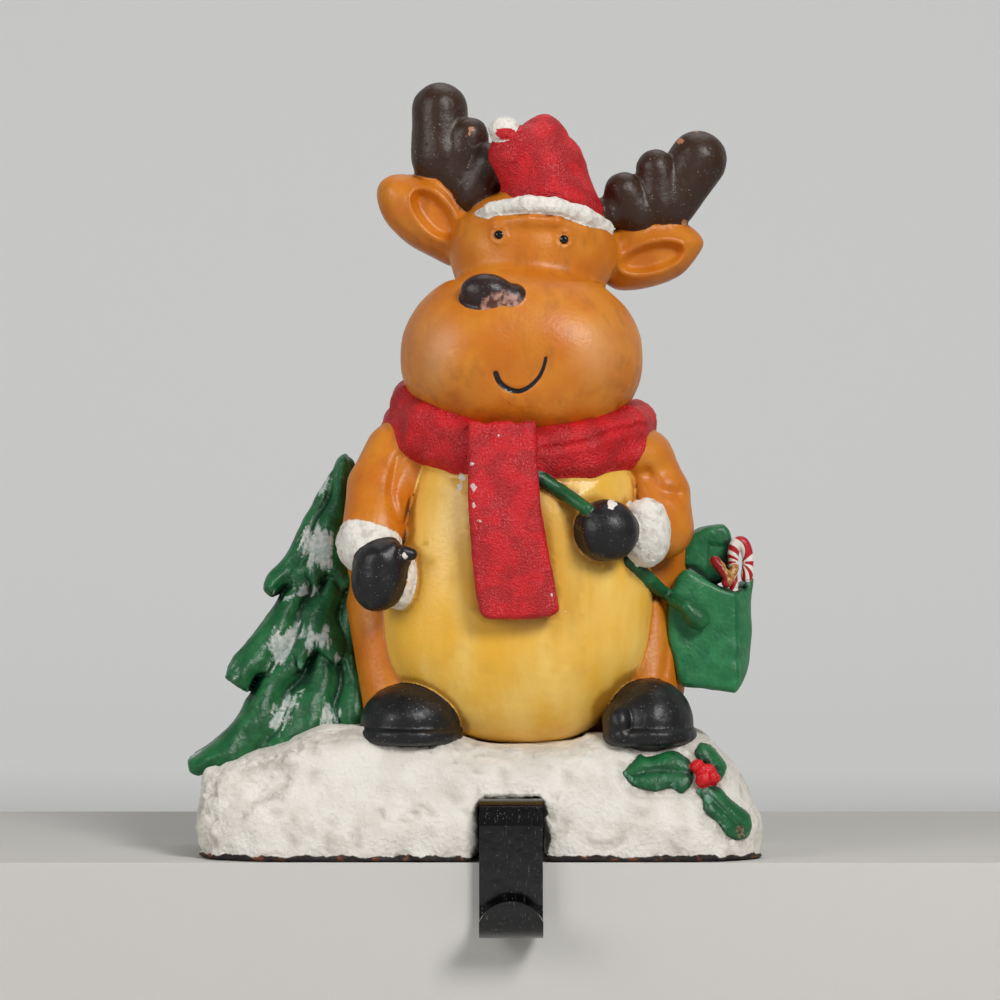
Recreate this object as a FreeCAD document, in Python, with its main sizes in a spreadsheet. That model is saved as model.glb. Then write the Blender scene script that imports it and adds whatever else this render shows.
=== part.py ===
import FreeCAD, Part
import Sketcher
import math
import os

# Mantel stocking holder: a hollow iron casting of a reindeer on a snow mound, with a steel strap hook
# that is screwed up into a channel under the mound and hangs over the edge of the shelf.
# Frame: X to the right of the front view, +Z up, the front faces -Y. Z = 0 is the shelf, X = 0 is the
# middle of the hook, and Y = 0 lies between the front edge of the mound and its flat back.

SIZES = [
    ("mound_left", 75.0, "reach of the snow mound to the left of the hook"),
    ("mound_right", 60.8, "reach of the snow mound to the right of the hook"),
    ("mound_front", 30.0, "from the origin forward to the bottom edge"),
    ("mound_back", 26.0, "from the origin back to the flat back"),
    ("mound_height", 29.0, "ledge that the boots stand on"),
    ("mound_slope", 7.0, "how far the front face leans back"),
    ("mound_rounding", 7.5, "rounding of the ledge's front edge"),
    ("corner_rounding", 9.0, "rounding of the mound's outline"),
    ("wall", 4.2, "least wall of the casting"),
    ("floor_thickness", 4.4, "bottom plate of the mound"),
    ("body_shift", 1.5, "middle of the body to the right of the hook"),
    ("body_axis_back", 6.6, "axis of the belly behind the origin"),
    ("belly_radius", 32.8, "widest radius of the belly"),
    ("belly_neck_radius", 22.0, "radius of the belly at the neck"),
    ("belly_height", 78.0, "belly from its lowest point to the neck"),
    ("belly_sink", 3.0, "belly below the ledge"),
    ("torso_half_width", 43.6, "torso and haunches, half width"),
    ("torso_height", 78.0, "torso above the ledge"),
    ("torso_depth", 29.0, "torso forward from the flat back"),
    ("torso_rounding", 6.5, "rounding of the torso's front edge"),
    ("arm_radius", 7.6, "upper arm"),
    ("wrist_radius", 6.2, "wrist"),
    ("mitten_radius", 7.6, "mitten"),
    ("cuff_radius", 8.4, "fur cuff"),
    ("cuff_thickness", 10.0, "fur cuff along the arm"),
    ("shoulder_forward", 1.0, "middle of the shoulder in front of the origin"),
    ("elbow_forward", 5.0, "middle of the elbow in front of the origin"),
    ("wrist_forward", 12.5, "middle of the wrist in front of the origin"),
    ("mitten_forward", 20.0, "middle of the mitten in front of the origin"),
    ("leg_radius", 9.2, "leg between the torso and the boot"),
    ("boot_height", 14.6, "boot above its sole"),
    ("boot_radius", 12.4, "boot, seen from above"),
    ("boot_forward", 12.6, "middle of the boot in front of the origin"),
    ("sole_height", 3.8, "sole of the boot"),
    ("sole_groove", 0.9, "groove above the sole"),
    ("scarf_radius", 32.8, "outside of the scarf round the neck"),
    ("scarf_height", 14.0, "scarf's band"),
    ("scarf_tilt", 16.0, "scarf lower in front, degrees"),
    ("tail_width", 17.5, "hanging end of the scarf"),
    ("tail_length", 46.0, "hanging end of the scarf"),
    ("tail_thickness", 3.4, "hanging end in front of the belly"),
    ("head_above_ledge", 94.5, "middle of the muzzle above the ledge"),
    ("muzzle_half_width", 29.4, "muzzle"),
    ("muzzle_radius", 20.3, "muzzle, half height"),
    ("muzzle_forward", 5.5, "axis of the muzzle in front of the origin"),
    ("brow_height", 22.0, "middle of the forehead above the muzzle's"),
    ("brow_radius", 18.4, "forehead"),
    ("nose_radius", 4.4, "nose"),
    ("nose_length", 8.0, "nose, between the middles of its ends"),
    ("eye_radius", 1.2, "eye"),
    ("eye_spacing", 15.6, "between the eyes"),
    ("mouth_radius", 6.9, "smile"),
    ("mouth_groove", 0.55, "smile's groove, radius of its section"),
    ("ear_length", 26.0, "ear"),
    ("ear_width", 16.5, "ear"),
    ("ear_thickness", 15.0, "ear, front to back"),
    ("ear_inset", 4.0, "back of the ears in front of the flat back"),
    ("ear_hollow", 1.8, "depth of the hollow in the ear"),
    ("antler_height", 28.0, "left antler above the head"),
    ("antler_reach", 27.0, "right antler's reach to the side"),
    ("antler_radius", 7.1, "main lobe of an antler"),
    ("prong_radius", 5.0, "small lobe of an antler"),
    ("antler_back", 13.5, "middle of the antlers behind the origin"),
    ("hat_radius", 13.2, "hat above its band"),
    ("hat_tip_radius", 8.0, "round top of the hat"),
    ("hat_height", 15.6, "between the middles of the hat's two ends"),
    ("band_radius", 16.4, "fur band of the hat"),
    ("band_height", 4.4, "fur band of the hat"),
    ("band_tilt", 15.0, "fur band higher in front, degrees"),
    ("pompom_radius", 3.9, "pom-pom"),
    ("tree_height", 68.0, "tree above the ledge"),
    ("tree_reach", 39.0, "lowest boughs to the left of the trunk"),
    ("tree_depth", 30.0, "lowest boughs forward from the flat back"),
    ("tree_step", 4.5, "each tier stands back from the one below"),
    ("bough_radius", 4.0, "bough at its drooping end"),
    ("bag_width", 18.5, "satchel"),
    ("bag_height", 29.0, "satchel"),
    ("bag_depth", 31.0, "satchel forward from the flat back"),
    ("bag_rounding", 2.2, "edges of the satchel"),
    ("flap_height", 11.0, "raised back of the satchel"),
    ("bag_strap_radius", 1.7, "strap of the satchel"),
    ("gift_side", 8.5, "gift in the satchel"),
    ("cane_radius", 1.9, "candy cane"),
    ("cane_bend", 3.2, "hook of the candy cane"),
    ("leaf_length", 17.5, "holly leaf"),
    ("leaf_width", 8.0, "holly leaf"),
    ("leaf_thickness", 1.8, "holly leaf in front of the snow"),
    ("berry_radius", 1.9, "holly berry"),
    ("notch_width", 18.0, "notch and channel for the strap"),
    ("notch_height", 14.8, "ceiling of the channel above the shelf"),
    ("notch_rounding", 1.1, "upper corners of the notch"),
    ("notch_taper", 0.3, "how far each side of the notch leans in"),
    ("channel_length", 24.0, "channel back from the mound's front edge"),
    ("boss_wall", 6.0, "iron on each side of the channel"),
    ("strap_width", 15.0, "hook strap"),
    ("strap_thickness", 2.8, "hook strap"),
    ("strap_bend", 3.2, "inner radius of the strap's top bend"),
    ("strap_gap", 1.2, "leg of the strap in front of the mound"),
    ("strap_drop", 17.1, "lowest point of the hook below the shelf"),
    ("hook_radius", 4.6, "inner radius of the J"),
    ("hook_rise", 1.8, "straight part of the J's tip"),
    ("tip_rise", 4.9, "round end of the J's tip, from its sides to its top"),
    ("channel_clearance", 1.2, "strap's end to the end of the channel"),
    ("screw_radius", 2.0, "screw's shank"),
    ("screw_length", 10.5, "screw's shank under the head"),
    ("screw_head_radius", 4.0, "screw's pan head"),
    ("screw_head_height", 2.6, "screw's pan head"),
    ("screw_clearance", 0.25, "hole in the strap beyond the shank"),
    ("thread_clearance", 0.1, "hole in the casting beyond the shank"),
    ("screw_from_end", 9.5, "screw to the strap's end"),
    ("slot_width", 1.2, "screwdriver slot"),
    ("slot_depth", 1.3, "screwdriver slot"),
]

document = FreeCAD.newDocument("stocking_holder")
sheet = document.addObject("Spreadsheet::Sheet", "sizes")


class Size:
    """A number together with the spreadsheet formula that gives it."""

    def __init__(self, number, formula):
        self.number = float(number)
        self.formula = formula

    def __add__(self, other):
        other = as_size(other)
        return Size(self.number + other.number, f"({self.formula} + {other.formula})")

    def __sub__(self, other):
        other = as_size(other)
        return Size(self.number - other.number, f"({self.formula} - {other.formula})")

    def __mul__(self, other):
        other = as_size(other)
        return Size(self.number * other.number, f"({self.formula} * {other.formula})")

    def __truediv__(self, other):
        other = as_size(other)
        return Size(self.number / other.number, f"({self.formula} / {other.formula})")

    def __radd__(self, other):
        return as_size(other) + self

    def __rsub__(self, other):
        return as_size(other) - self

    def __rmul__(self, other):
        return as_size(other) * self

    def __neg__(self):
        return as_size(0) - self


def as_size(value):
    """A plain number becomes a size with a constant formula."""
    return value if isinstance(value, Size) else Size(value, f"({float(value):.6g})")


class Table:
    """The spreadsheet's sizes by name."""


s = Table()
for row, (alias, number, note) in enumerate(SIZES, start=1):
    sheet.set(f"A{row}", alias)
    sheet.set(f"B{row}", str(number))
    sheet.set(f"C{row}", note)
    sheet.setAlias(f"B{row}", alias)
    setattr(s, alias, Size(number, f"sizes.{alias}"))
document.recompute()


def bind(thing, field, size):
    """Binds one property of an object to its spreadsheet formula."""
    thing.setExpression(field, as_size(size).formula)


def place(thing, x, y, z, axis=None, angle=0):
    """Binds an object's place, and turns it about an axis by an angle in degrees."""
    turn = FreeCAD.Rotation(FreeCAD.Vector(*axis), as_size(angle).number) if axis else FreeCAD.Rotation()
    here = FreeCAD.Vector(as_size(x).number, as_size(y).number, as_size(z).number)
    thing.Placement = FreeCAD.Placement(here, turn)
    for letter, value in zip("xyz", (x, y, z)):
        bind(thing, f"Placement.Base.{letter}", value)
    return thing


def new_body(name):
    """An empty body with its label."""
    body = document.addObject("PartDesign::Body", name)
    body.Label = name
    return body


def new_sketch(body, plane, offset=0):
    """A sketch on one of the body's own origin planes, moved along the plane's normal."""
    sketch = body.newObject("Sketcher::SketchObject", body.Name + "_sketch")
    origin_plane = [part for part in body.Origin.OriginFeatures if part.Role == plane][0]
    sketch.AttachmentSupport = (origin_plane, "")
    sketch.MapMode = "FlatFace"
    bind(sketch, "AttachmentOffset.Base.z", offset)
    return sketch


def constrain(sketch, kind, *where, size=None):
    """Adds a constraint, bound to its formula when it has a size."""
    if size is None:
        return sketch.addConstraint(Sketcher.Constraint(kind, *where))
    index = sketch.addConstraint(Sketcher.Constraint(kind, *where, size.number))
    sketch.renameConstraint(index, f"size{index}")
    bind(sketch, f"Constraints.size{index}", size)
    return index


def draw_outline(sketch, points):
    """A closed outline of straight edges whose corners are bound to the sheet."""
    corners = [FreeCAD.Vector(as_size(x).number, as_size(y).number, 0) for x, y in points]
    count = len(corners)
    for index in range(count):
        sketch.addGeometry(Part.LineSegment(corners[index], corners[(index + 1) % count]), False)
    for index, (x, y) in enumerate(points):
        constrain(sketch, "Coincident", index, 2, (index + 1) % count, 1)
        constrain(sketch, "DistanceX", -1, 1, index, 1, size=as_size(x))
        constrain(sketch, "DistanceY", -1, 1, index, 1, size=as_size(y))


def straight_edges(shape, direction):
    """Names of the straight edges that run along a direction."""
    names = []
    for index, edge in enumerate(shape.Edges, start=1):
        if isinstance(edge.Curve, Part.Line) and abs(edge.Curve.Direction.dot(direction)) > 0.9999:
            names.append(f"Edge{index}")
    return names


def end_face(shape, direction):
    """Name of the flat face that lies furthest along a direction."""
    best = max(range(len(shape.Faces)), key=lambda i: flat_reach(shape.Faces[i], direction))
    return f"Face{best + 1}"


def flat_reach(face, direction):
    """How far a flat face that looks along a direction lies that way."""
    if not isinstance(face.Surface, Part.Plane) or face.normalAt(0, 0).dot(direction) < 0.9999:
        return -math.inf
    return face.CenterOfMass.dot(direction)


def fillet(body, base, edges, radius):
    """A fillet of the named edges or faces."""
    rounding = body.newObject("PartDesign::Fillet", body.Name + "_fillet")
    rounding.Base = (base, edges)
    rounding.Radius = as_size(radius).number
    bind(rounding, "Radius", radius)
    document.recompute()
    if rounding.Shape.isNull() or not rounding.Shape.isValid():
        raise RuntimeError(f"{body.Name}: its rounding failed")
    return rounding


def chamfer(body, base, edges, size):
    """A chamfer of the named edges or faces."""
    bevel = body.newObject("PartDesign::Chamfer", body.Name + "_chamfer")
    bevel.Base = (base, edges)
    bevel.Size = as_size(size).number
    bind(bevel, "Size", size)
    document.recompute()
    if bevel.Shape.isNull() or not bevel.Shape.isValid():
        raise RuntimeError(f"{body.Name}: its chamfer failed")
    return bevel


PLANES = {
    "front": ("XZ_Plane", FreeCAD.Vector(0, -1, 0)),
    "side": ("YZ_Plane", FreeCAD.Vector(1, 0, 0)),
    "plan": ("XY_Plane", FreeCAD.Vector(0, 0, 1)),
}


def relief(name, points, start, length, corners, edge, view="front"):
    """A flat form: an outline padded along its view, with round corners and a round outer edge."""
    plane, outward = PLANES[view]
    body = new_body(name)
    sketch = new_sketch(body, plane, start)
    draw_outline(sketch, points)
    pad = body.newObject("PartDesign::Pad", name + "_pad")
    pad.Profile = sketch
    pad.Length = as_size(length).number
    bind(pad, "Length", length)
    document.recompute()
    last = pad
    if corners:
        last = fillet(body, last, straight_edges(last.Shape, outward), corners)
    if edge:
        last = chamfer(body, last, [end_face(last.Shape, outward)], edge)
    return body


def turned(name, points):
    """A form turned about its own Z axis from a straight-edged half section."""
    body = new_body(name)
    sketch = new_sketch(body, "XZ_Plane")
    draw_outline(sketch, points)
    revolve(body, sketch)
    return body


def revolve(body, sketch):
    """Turns a sketch about its vertical axis."""
    turn = body.newObject("PartDesign::Revolution", body.Name + "_turn")
    turn.Profile = sketch
    turn.ReferenceAxis = (sketch, ["V_Axis"])
    turn.Angle = 360
    document.recompute()


def oval(width, height, count, tilt=0):
    """Points of an ellipse about the origin, tilted by an angle in degrees."""
    lean = math.radians(tilt)
    points = []
    for step in range(count):
        angle = math.tau * (step + 0.5) / count
        u = width * math.cos(angle)
        v = height * math.sin(angle)
        points.append((u * math.cos(lean) - v * math.sin(lean), u * math.sin(lean) + v * math.cos(lean)))
    return points


def quarter_turn(radius, height, middle, first, last, steps):
    """Points of an elliptic arc about a place on the axis, from one angle to another, in degrees."""
    points = []
    for step in range(steps + 1):
        angle = math.radians(first + (last - first) * step / steps)
        points.append((radius * math.cos(angle), middle + height * math.sin(angle)))
    return points


def aim(thing, start, end):
    """Puts a turned form at its start with its axis towards its end."""
    first = [as_size(value) for value in start]
    run = FreeCAD.Vector(*[as_size(b).number - a.number for a, b in zip(first, end)])
    here = FreeCAD.Vector(*[value.number for value in first])
    thing.Placement = FreeCAD.Placement(here, FreeCAD.Rotation(FreeCAD.Vector(0, 0, 1), run))
    for letter, value in zip("xyz", first):
        bind(thing, f"Placement.Base.{letter}", value)
    return thing


def limb(name, start, start_radius, end, end_radius, steps=3, root=True):
    """A round limb from a hidden root to a domed end, with its sides touching both rounds."""
    first = [as_size(value) for value in start]
    last = [as_size(value) for value in end]
    squares = [(b - a) * (b - a) for a, b in zip(first, last)]
    total = squares[0] + squares[1] + squares[2]
    length = Size(math.sqrt(total.number), f"sqrt({total.formula})")
    low, high = as_size(start_radius), as_size(end_radius)
    lean = math.degrees(math.asin((low.number - high.number) / length.number))
    if root:
        touch = (low * math.cos(math.radians(lean)), low * math.sin(math.radians(lean)))
        section = [(0, 0), (low, 0), touch] if lean > 2 else [(0, 0), touch]
    else:
        section = [(0, -low)] + quarter_turn(low, low, 0, -90, lean, steps)[1:]
    section += quarter_turn(high, high, length, lean, 90, steps)[:-1] + [(0, length + high)]
    return aim(turned(name, section), first, last)


def ball(name, x, y, z, radius, steps=6):
    """A ball, turned from a section of short straight runs."""
    section = [(0, -radius)] + quarter_turn(radius, radius, 0, -90, 90, steps)[1:-1] + [(0, radius)]
    return place(turned(name, section), x, y, z)


def block(name, x, y, z, width, depth, height):
    """A box from its lowest corner."""
    box = document.addObject("Part::Box", name)
    bind(box, "Length", width)
    bind(box, "Width", depth)
    bind(box, "Height", height)
    return place(box, x, y, z)


def rod(name, x, y, z, radius, height):
    """An upright cylinder from its lower end."""
    cylinder = document.addObject("Part::Cylinder", name)
    bind(cylinder, "Radius", radius)
    bind(cylinder, "Height", height)
    return place(cylinder, x, y, z)


def join(name, parts):
    """One solid from several."""
    fuse = document.addObject("Part::MultiFuse", name)
    fuse.Shapes = parts
    fuse.Refine = False
    return fuse


def cut(name, base, tool):
    """One shape less another."""
    result = document.addObject("Part::Cut", name)
    result.Base = base
    result.Tool = tool
    result.Refine = False
    return result


def scaled(points, width, height):
    """Outline points given as shares of a form's own width and height."""
    return [(width * u, height * v) for u, v in points]


# The snow mound

def mound():
    """The front outline and the side profile of the mound, each padded through the other."""
    outline = [
        (-s.mound_left * 0.965, 0), (-s.mound_left, s.mound_height * 0.22),
        (-s.mound_left * 0.99, s.mound_height * 0.66), (-s.mound_left * 0.8, s.mound_height * 0.86),
        (-s.mound_left * 0.52, s.mound_height), (s.mound_right * 0.66, s.mound_height),
        (s.mound_right * 0.89, s.mound_height * 0.76), (s.mound_right * 0.985, s.mound_height * 0.24),
        (s.mound_right * 0.95, 0),
    ]
    depth = s.mound_front + s.mound_back
    face = relief("mound_outline", outline, -s.mound_back, depth, s.corner_rounding * 0.45, 0)
    profile = [
        (-s.mound_front, 0), (-s.mound_front, s.mound_height * 0.2),
        (-s.mound_front + s.mound_slope * 0.3, s.mound_height * 0.7),
        (-s.mound_front + s.mound_slope, s.mound_height), (s.mound_back, s.mound_height),
        (s.mound_back, 0),
    ]
    width = s.mound_left + s.mound_right
    slope = relief("mound_profile", profile, -s.mound_left, width, 0, 0, "side")
    edges = straight_edges(slope.Shape, FreeCAD.Vector(1, 0, 0))
    front_edges = [name for name in edges if is_front_top(slope.Shape.getElement(name))]
    fillet(slope, slope.Tip, front_edges, s.mound_rounding)
    plan = [
        (-s.mound_left, s.mound_back), (-s.mound_left, -s.mound_front),
        (s.mound_right, -s.mound_front), (s.mound_right, s.mound_back),
    ]
    footprint = relief("mound_plan", plan, 0, s.mound_height, 0, 0, "plan")
    corners = straight_edges(footprint.Shape, FreeCAD.Vector(0, 0, 1))
    front_corners = [name for name in corners if footprint.Shape.getElement(name).CenterOfMass.y < 0]
    fillet(footprint, footprint.Tip, front_corners, s.corner_rounding)
    whole = document.addObject("Part::MultiCommon", "snow_mound")
    whole.Shapes = [face, slope, footprint]
    return [whole]


def is_front_top(edge):
    """True for the long edges of the front slope that lie clear of the shelf and the back."""
    middle = edge.CenterOfMass
    return middle.z > 1 and middle.y < s.mound_back.number - 1


# Body, arms and boots

def belly():
    """An egg: a round bottom and long sides that narrow up to the neck."""
    low = s.belly_radius * 0.83
    section = [(0, 0)] + quarter_turn(s.belly_radius, low, low, -90, 0, 4)[1:]
    steps = 2
    for step in range(1, steps + 1):
        share = step / steps
        narrowing = (s.belly_radius - s.belly_neck_radius) * share ** 2
        section.append((s.belly_radius - narrowing, low + (s.belly_height - low) * share))
    section.append((0, s.belly_height))
    egg = turned("belly", section)
    return [place(egg, s.body_shift, s.body_axis_back, s.mound_height - s.belly_sink)]


TORSO = [
    (-0.62, -0.04), (-0.86, 0.08), (-0.95, 0.25), (-0.985, 0.55), (-1.0, 0.72), (-0.92, 0.84), (-0.6, 0.96),
    (0.6, 0.96), (0.88, 0.84), (0.98, 0.72), (1.0, 0.6), (0.97, 0.3), (0.88, 0.08), (0.62, -0.04),
]


def torso():
    """Haunches, back and shoulders behind the belly, as one rounded relief."""
    outline = scaled(TORSO, s.torso_half_width, s.torso_height)
    body = relief("torso", outline, 0, s.torso_depth, 0, s.torso_rounding)
    return [place(body, s.body_shift, s.mound_back, s.mound_height)]


def on_body(across, forward, up):
    """A place on the body: shares of its half width and height, and a distance in front of the origin."""
    return (s.body_shift + s.torso_half_width * across, -forward, s.mound_height + s.torso_height * up)


def legs():
    """The two legs beside the belly, from the haunches down into the boots."""
    radius = s.leg_radius
    left = limb("left_leg", on_body(-0.77, -1, 0.4), radius, on_body(-0.7, s.elbow_forward + 2, 0.09),
                radius * 0.98, 2)
    thin = radius * 0.92
    right = limb("right_leg", on_body(0.8, -1, 0.37), thin, on_body(0.75, s.elbow_forward + 1, 0.115), thin, 2)
    return [left, right]


def arms():
    """Upper arm, forearm, fur cuff and mitten on each side."""
    shoulder, elbow, wrist = s.shoulder_forward, s.elbow_forward, s.wrist_forward
    full, thin = s.arm_radius, s.wrist_radius
    left_elbow = on_body(-0.84, elbow, 0.757)
    left_mitten = on_body(-0.755, s.mitten_forward - 1, 0.498)
    right_elbow = on_body(0.835, elbow, 0.71)
    right_cuff = on_body(0.71, wrist + 4.5, 0.626)
    right_mitten = on_body(0.5, s.mitten_forward + 3.5, 0.628)
    return [
        limb("left_upper_arm", on_body(-0.757, shoulder, 0.872), full * 0.9, left_elbow, full, 2),
        limb("left_forearm", left_elbow, full * 0.97, on_body(-0.8, wrist, 0.622), full * 0.95, 2),
        ball("left_cuff", *on_body(-0.777, wrist + 1, 0.567), s.cuff_radius, 4),
        ball("left_cuff_end", *on_body(-0.645, wrist + 2.5, 0.467), s.cuff_radius * 0.68, 4),
        ball("left_mitten", *left_mitten, s.mitten_radius * 1.06, 4),
        limb("right_upper_arm", on_body(0.757, shoulder, 0.859), full * 0.95, right_elbow, full * 1.05, 2),
        limb("right_forearm", right_elbow, full * 1.01, on_body(0.676, wrist + 2.5, 0.628), thin, 2),
        cuff("right_cuff", right_cuff, right_mitten),
        ball("right_mitten", *right_mitten, s.mitten_radius * 0.92, 4),
    ]


def cuff(name, middle, mitten):
    """A thick fur ring round the wrist, facing the mitten."""
    half = s.cuff_thickness / 2
    rim = s.cuff_radius * 0.92
    section = [
        (0, -half), (rim * 0.72, -half * 0.8), (rim, -half * 0.2), (rim, half * 0.2),
        (rim * 0.72, half * 0.8), (0, half),
    ]
    return aim(turned(name, section), middle, mitten)


def boots():
    """Two boots that face forward, with a lump on the inner side of the right one."""
    lump = s.boot_radius * 0.45
    return [
        boot("left_boot", on_body(-0.59, s.boot_forward, 0), s.boot_radius, s.boot_height),
        boot("right_boot", on_body(0.735, s.boot_forward, 0), s.boot_radius * 0.9, s.boot_height),
        boot("right_boot_lump", on_body(0.56, s.boot_forward + 4.5, 0), lump, s.boot_height * 0.72),
    ]


def boot(name, middle, radius, height):
    """A domed upper over a sole, with a groove between them, sunk a little into the ledge."""
    groove = s.sole_groove
    start = s.sole_height + groove
    section = [
        (0, 0), (radius * 0.93, 0), (radius * 1.02, s.sole_height * 0.4), (radius, s.sole_height),
        (radius - groove, s.sole_height + groove * 0.5),
    ]
    section += quarter_turn(radius * 0.98, height - start, start, 0, 90, 3)[:-1] + [(0, height)]
    x, y, z = middle
    return place(turned(name, section), x, y, z - s.sole_height * 0.58)


# Scarf

def scarf():
    """The band round the neck, in two rolls and lower in front, and its hanging end."""
    half = s.scarf_height / 2
    rim = s.scarf_radius
    section = [
        (0, -half), (rim * 0.9, -half), (rim, -half * 0.45), (rim * 0.965, half * 0.1),
        (rim * 0.98, half * 0.6), (rim * 0.88, half), (0, half),
    ]
    neck = s.mound_height - s.belly_sink + s.belly_height
    band = turned("scarf_band", section)
    place(band, s.body_shift + 1, s.body_axis_back - 0.8, neck - 0.4, (1, 0, 0), s.scarf_tilt)
    shares = [(-0.5, 0), (-0.5, -0.55), (-0.36, -0.97), (0.64, -1.0), (0.74, -0.94), (0.48, -0.5), (0.42, 0)]
    front = s.body_axis_back - s.belly_radius - s.tail_thickness
    end = relief("scarf_end", scaled(shares, s.tail_width, s.tail_length), 0, s.tail_thickness * 4, 1.6, 1.0)
    place(end, s.body_shift - 2.2, front + s.tail_thickness * 4, neck - 1)
    return [band, end]


# Head

def head_middle():
    """The middle of the muzzle across and up."""
    return (s.body_shift + 1, s.mound_height + s.head_above_ledge)


def head():
    """Muzzle, forehead, nose and eyes."""
    x, z = head_middle()
    y = -s.muzzle_forward
    brow = (x + 3, s.muzzle_forward, z + s.brow_height)
    neck = s.belly_neck_radius
    forms = [
        limb("neck", (x, s.body_axis_back, z - neck * 1.3), neck, (x, s.body_axis_back, z - neck * 0.55),
             neck * 0.9, 2),
        muzzle_front(x, y, z),
        behind("head_back", x, z, s.muzzle_half_width * 0.97, s.muzzle_radius * 0.97, y, 20),
        limb("forehead", (x + 1, 4, z + 5), s.muzzle_radius * 0.94, brow, s.brow_radius, 3),
        behind("skull_back", brow[0], brow[2], s.brow_radius * 0.97, s.brow_radius * 0.97, brow[1], 16),
    ]
    nose_y = y - s.muzzle_radius * 0.82
    nose_start = (x - 9.6, nose_y, z + s.muzzle_radius * 0.59)
    nose_end = (x - 9.6 + s.nose_length, nose_y - 0.4, z + s.muzzle_radius * 0.5)
    forms.append(limb("nose", nose_start, s.nose_radius, nose_end, s.nose_radius * 0.95, 2, root=False))
    for side, sign in (("left", -1), ("right", 1)):
        eye_x = x + 2.6 + s.eye_spacing * (0.5 * sign)
        eye_z = z + s.brow_height + 3.6
        across = (eye_x - brow[0]).number
        up = (eye_z - brow[2]).number
        share = math.sqrt(1 - (across ** 2 + up ** 2) / s.brow_radius.number ** 2)
        forms.append(ball(f"{side}_eye", eye_x, brow[1] - s.brow_radius * share, eye_z, s.eye_radius, 3))
    return forms


def muzzle_front(x, y, z):
    """The round front of the muzzle, turned about its long axis."""
    half, radius = s.muzzle_half_width, s.muzzle_radius
    right = [
        (radius, half * 0.12), (radius * 0.965, half * 0.38), (radius * 0.85, half * 0.64),
        (radius * 0.62, half * 0.86), (radius * 0.28, half * 0.975),
    ]
    left = [(across, -along) for across, along in reversed(right)]
    section = [(0, -half)] + left + right + [(0, half)]
    return place(turned("muzzle", section), x, y, z, (0, 1, 0), 90)


def behind(name, x, z, width, height, start, count):
    """An oval prism from a place behind the face to the flat back."""
    body = relief(name, oval(width, height, count), 0, s.mound_back - start, 0, 0)
    return place(body, x, s.mound_back, z)


def smile():
    """A thin ring segment that cuts the smile's groove into the muzzle."""
    ring = document.addObject("Part::Torus", "smile")
    bind(ring, "Radius1", s.mouth_radius)
    bind(ring, "Radius2", s.mouth_groove)
    bind(ring, "Angle3", 128)
    x, z = head_middle()
    place(ring, x + 0.6, -s.muzzle_forward - s.muzzle_radius * 0.975, z - 4.6)
    lean = FreeCAD.Rotation(FreeCAD.Vector(1, 0, 0), 116)
    start = FreeCAD.Rotation(FreeCAD.Vector(0, 0, 1), -140)
    ring.Placement = FreeCAD.Placement(ring.Placement.Base, lean.multiply(start))
    return ring


LEFT_EAR = [
    (-0.88, 0.41), (-0.84, 0.64), (-0.69, 0.74), (-0.27, 0.75), (0.0, 0.5), (0.24, 0.1), (0.2, -0.35),
    (-0.15, -0.65), (-0.33, -0.54), (-0.62, -0.28), (-0.82, 0.06),
]
RIGHT_EAR = [
    (-0.2, 0.2), (0.17, 0.33), (0.43, 0.51), (0.7, 0.54), (0.94, 0.41), (1.06, 0.18), (1.0, -0.04),
    (0.85, -0.32), (0.585, -0.5), (0.315, -0.56), (0.0, -0.46), (-0.2, -0.3),
]


def ears():
    """Two leaf-shaped ears, each with a shallow hollow."""
    x, z = head_middle()
    back = s.mound_back - s.ear_inset
    forms = []
    hollows = []
    rows = (
        ("left", (x - 12.5, z + 30.5), LEFT_EAR, (-0.43, 0.09), -44),
        ("right", (x + 17.5, z + 23), RIGHT_EAR, (0.59, -0.1), 13),
    )
    for side, (root_x, root_z), shares, (across, up), tilt in rows:
        ear = relief(f"{side}_ear", scaled(shares, s.ear_length, s.ear_width), 0, s.ear_thickness, 0, 2.0)
        forms.append(place(ear, root_x, back, root_z))
        cup = oval(s.ear_length * 0.29, s.ear_width * 0.24, 12, tilt)
        hollow = relief(f"{side}_ear_hollow", cup, 0, s.ear_thickness, 0, 0)
        hollows.append(place(hollow, root_x + s.ear_length * across, back - s.ear_thickness + s.ear_hollow,
                             root_z + s.ear_width * up))
    return forms, hollows


ROOTS = ("left_antler", "left_prong", "left_small_prong", "right_prong", "right_small_prong", "right_root")


def antlers():
    """Left and right antlers, each a broad lobe with smaller ones beside it."""
    x, z = head_middle()
    y = s.antler_back
    big, small = s.antler_radius, s.prong_radius
    top = z + s.antler_height
    side = x + s.antler_reach
    rows = [
        ("left_antler", (-19.5, 0, 18), big, (-19.8, 0, 30.2), big * 0.985),
        ("left_root", (-19.5, 0, 18.4), big * 0.97, (-12, -1, 11.6), small * 1.04),
        ("left_prong", (-14.1, -1.5, 14), small * 1.1, (-12.2, -1.5, 24.6), small * 0.88),
        ("left_small_prong", (-10.5, -3, 10), small, (-6.8, -3, 15.4), small * 0.94),
        ("right_antler", (10.9, 0, 9), big * 0.93, (16.5, 0, 17.8), big * 1.03),
        ("right_prong", (7, -1.5, 8), small * 1.16, (6.2, -1.5, 15.6), small),
        ("right_small_prong", (1.5, -2.5, 5), small, (-1.6, -2.5, 9.7), small * 0.94),
        ("right_root", (9, -1, 6), small * 1.02, (-4, -2, 4.4), small * 0.7),
    ]
    forms = []
    for name, start, start_radius, end, end_radius in rows:
        base = x if name.startswith("left") else side
        first = (base + start[0], y + start[1], top + start[2])
        last = (base + end[0], y + end[1], top + end[2])
        forms.append(limb(name, first, start_radius, last, end_radius, 2, root=name in ROOTS))
    return forms


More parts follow.
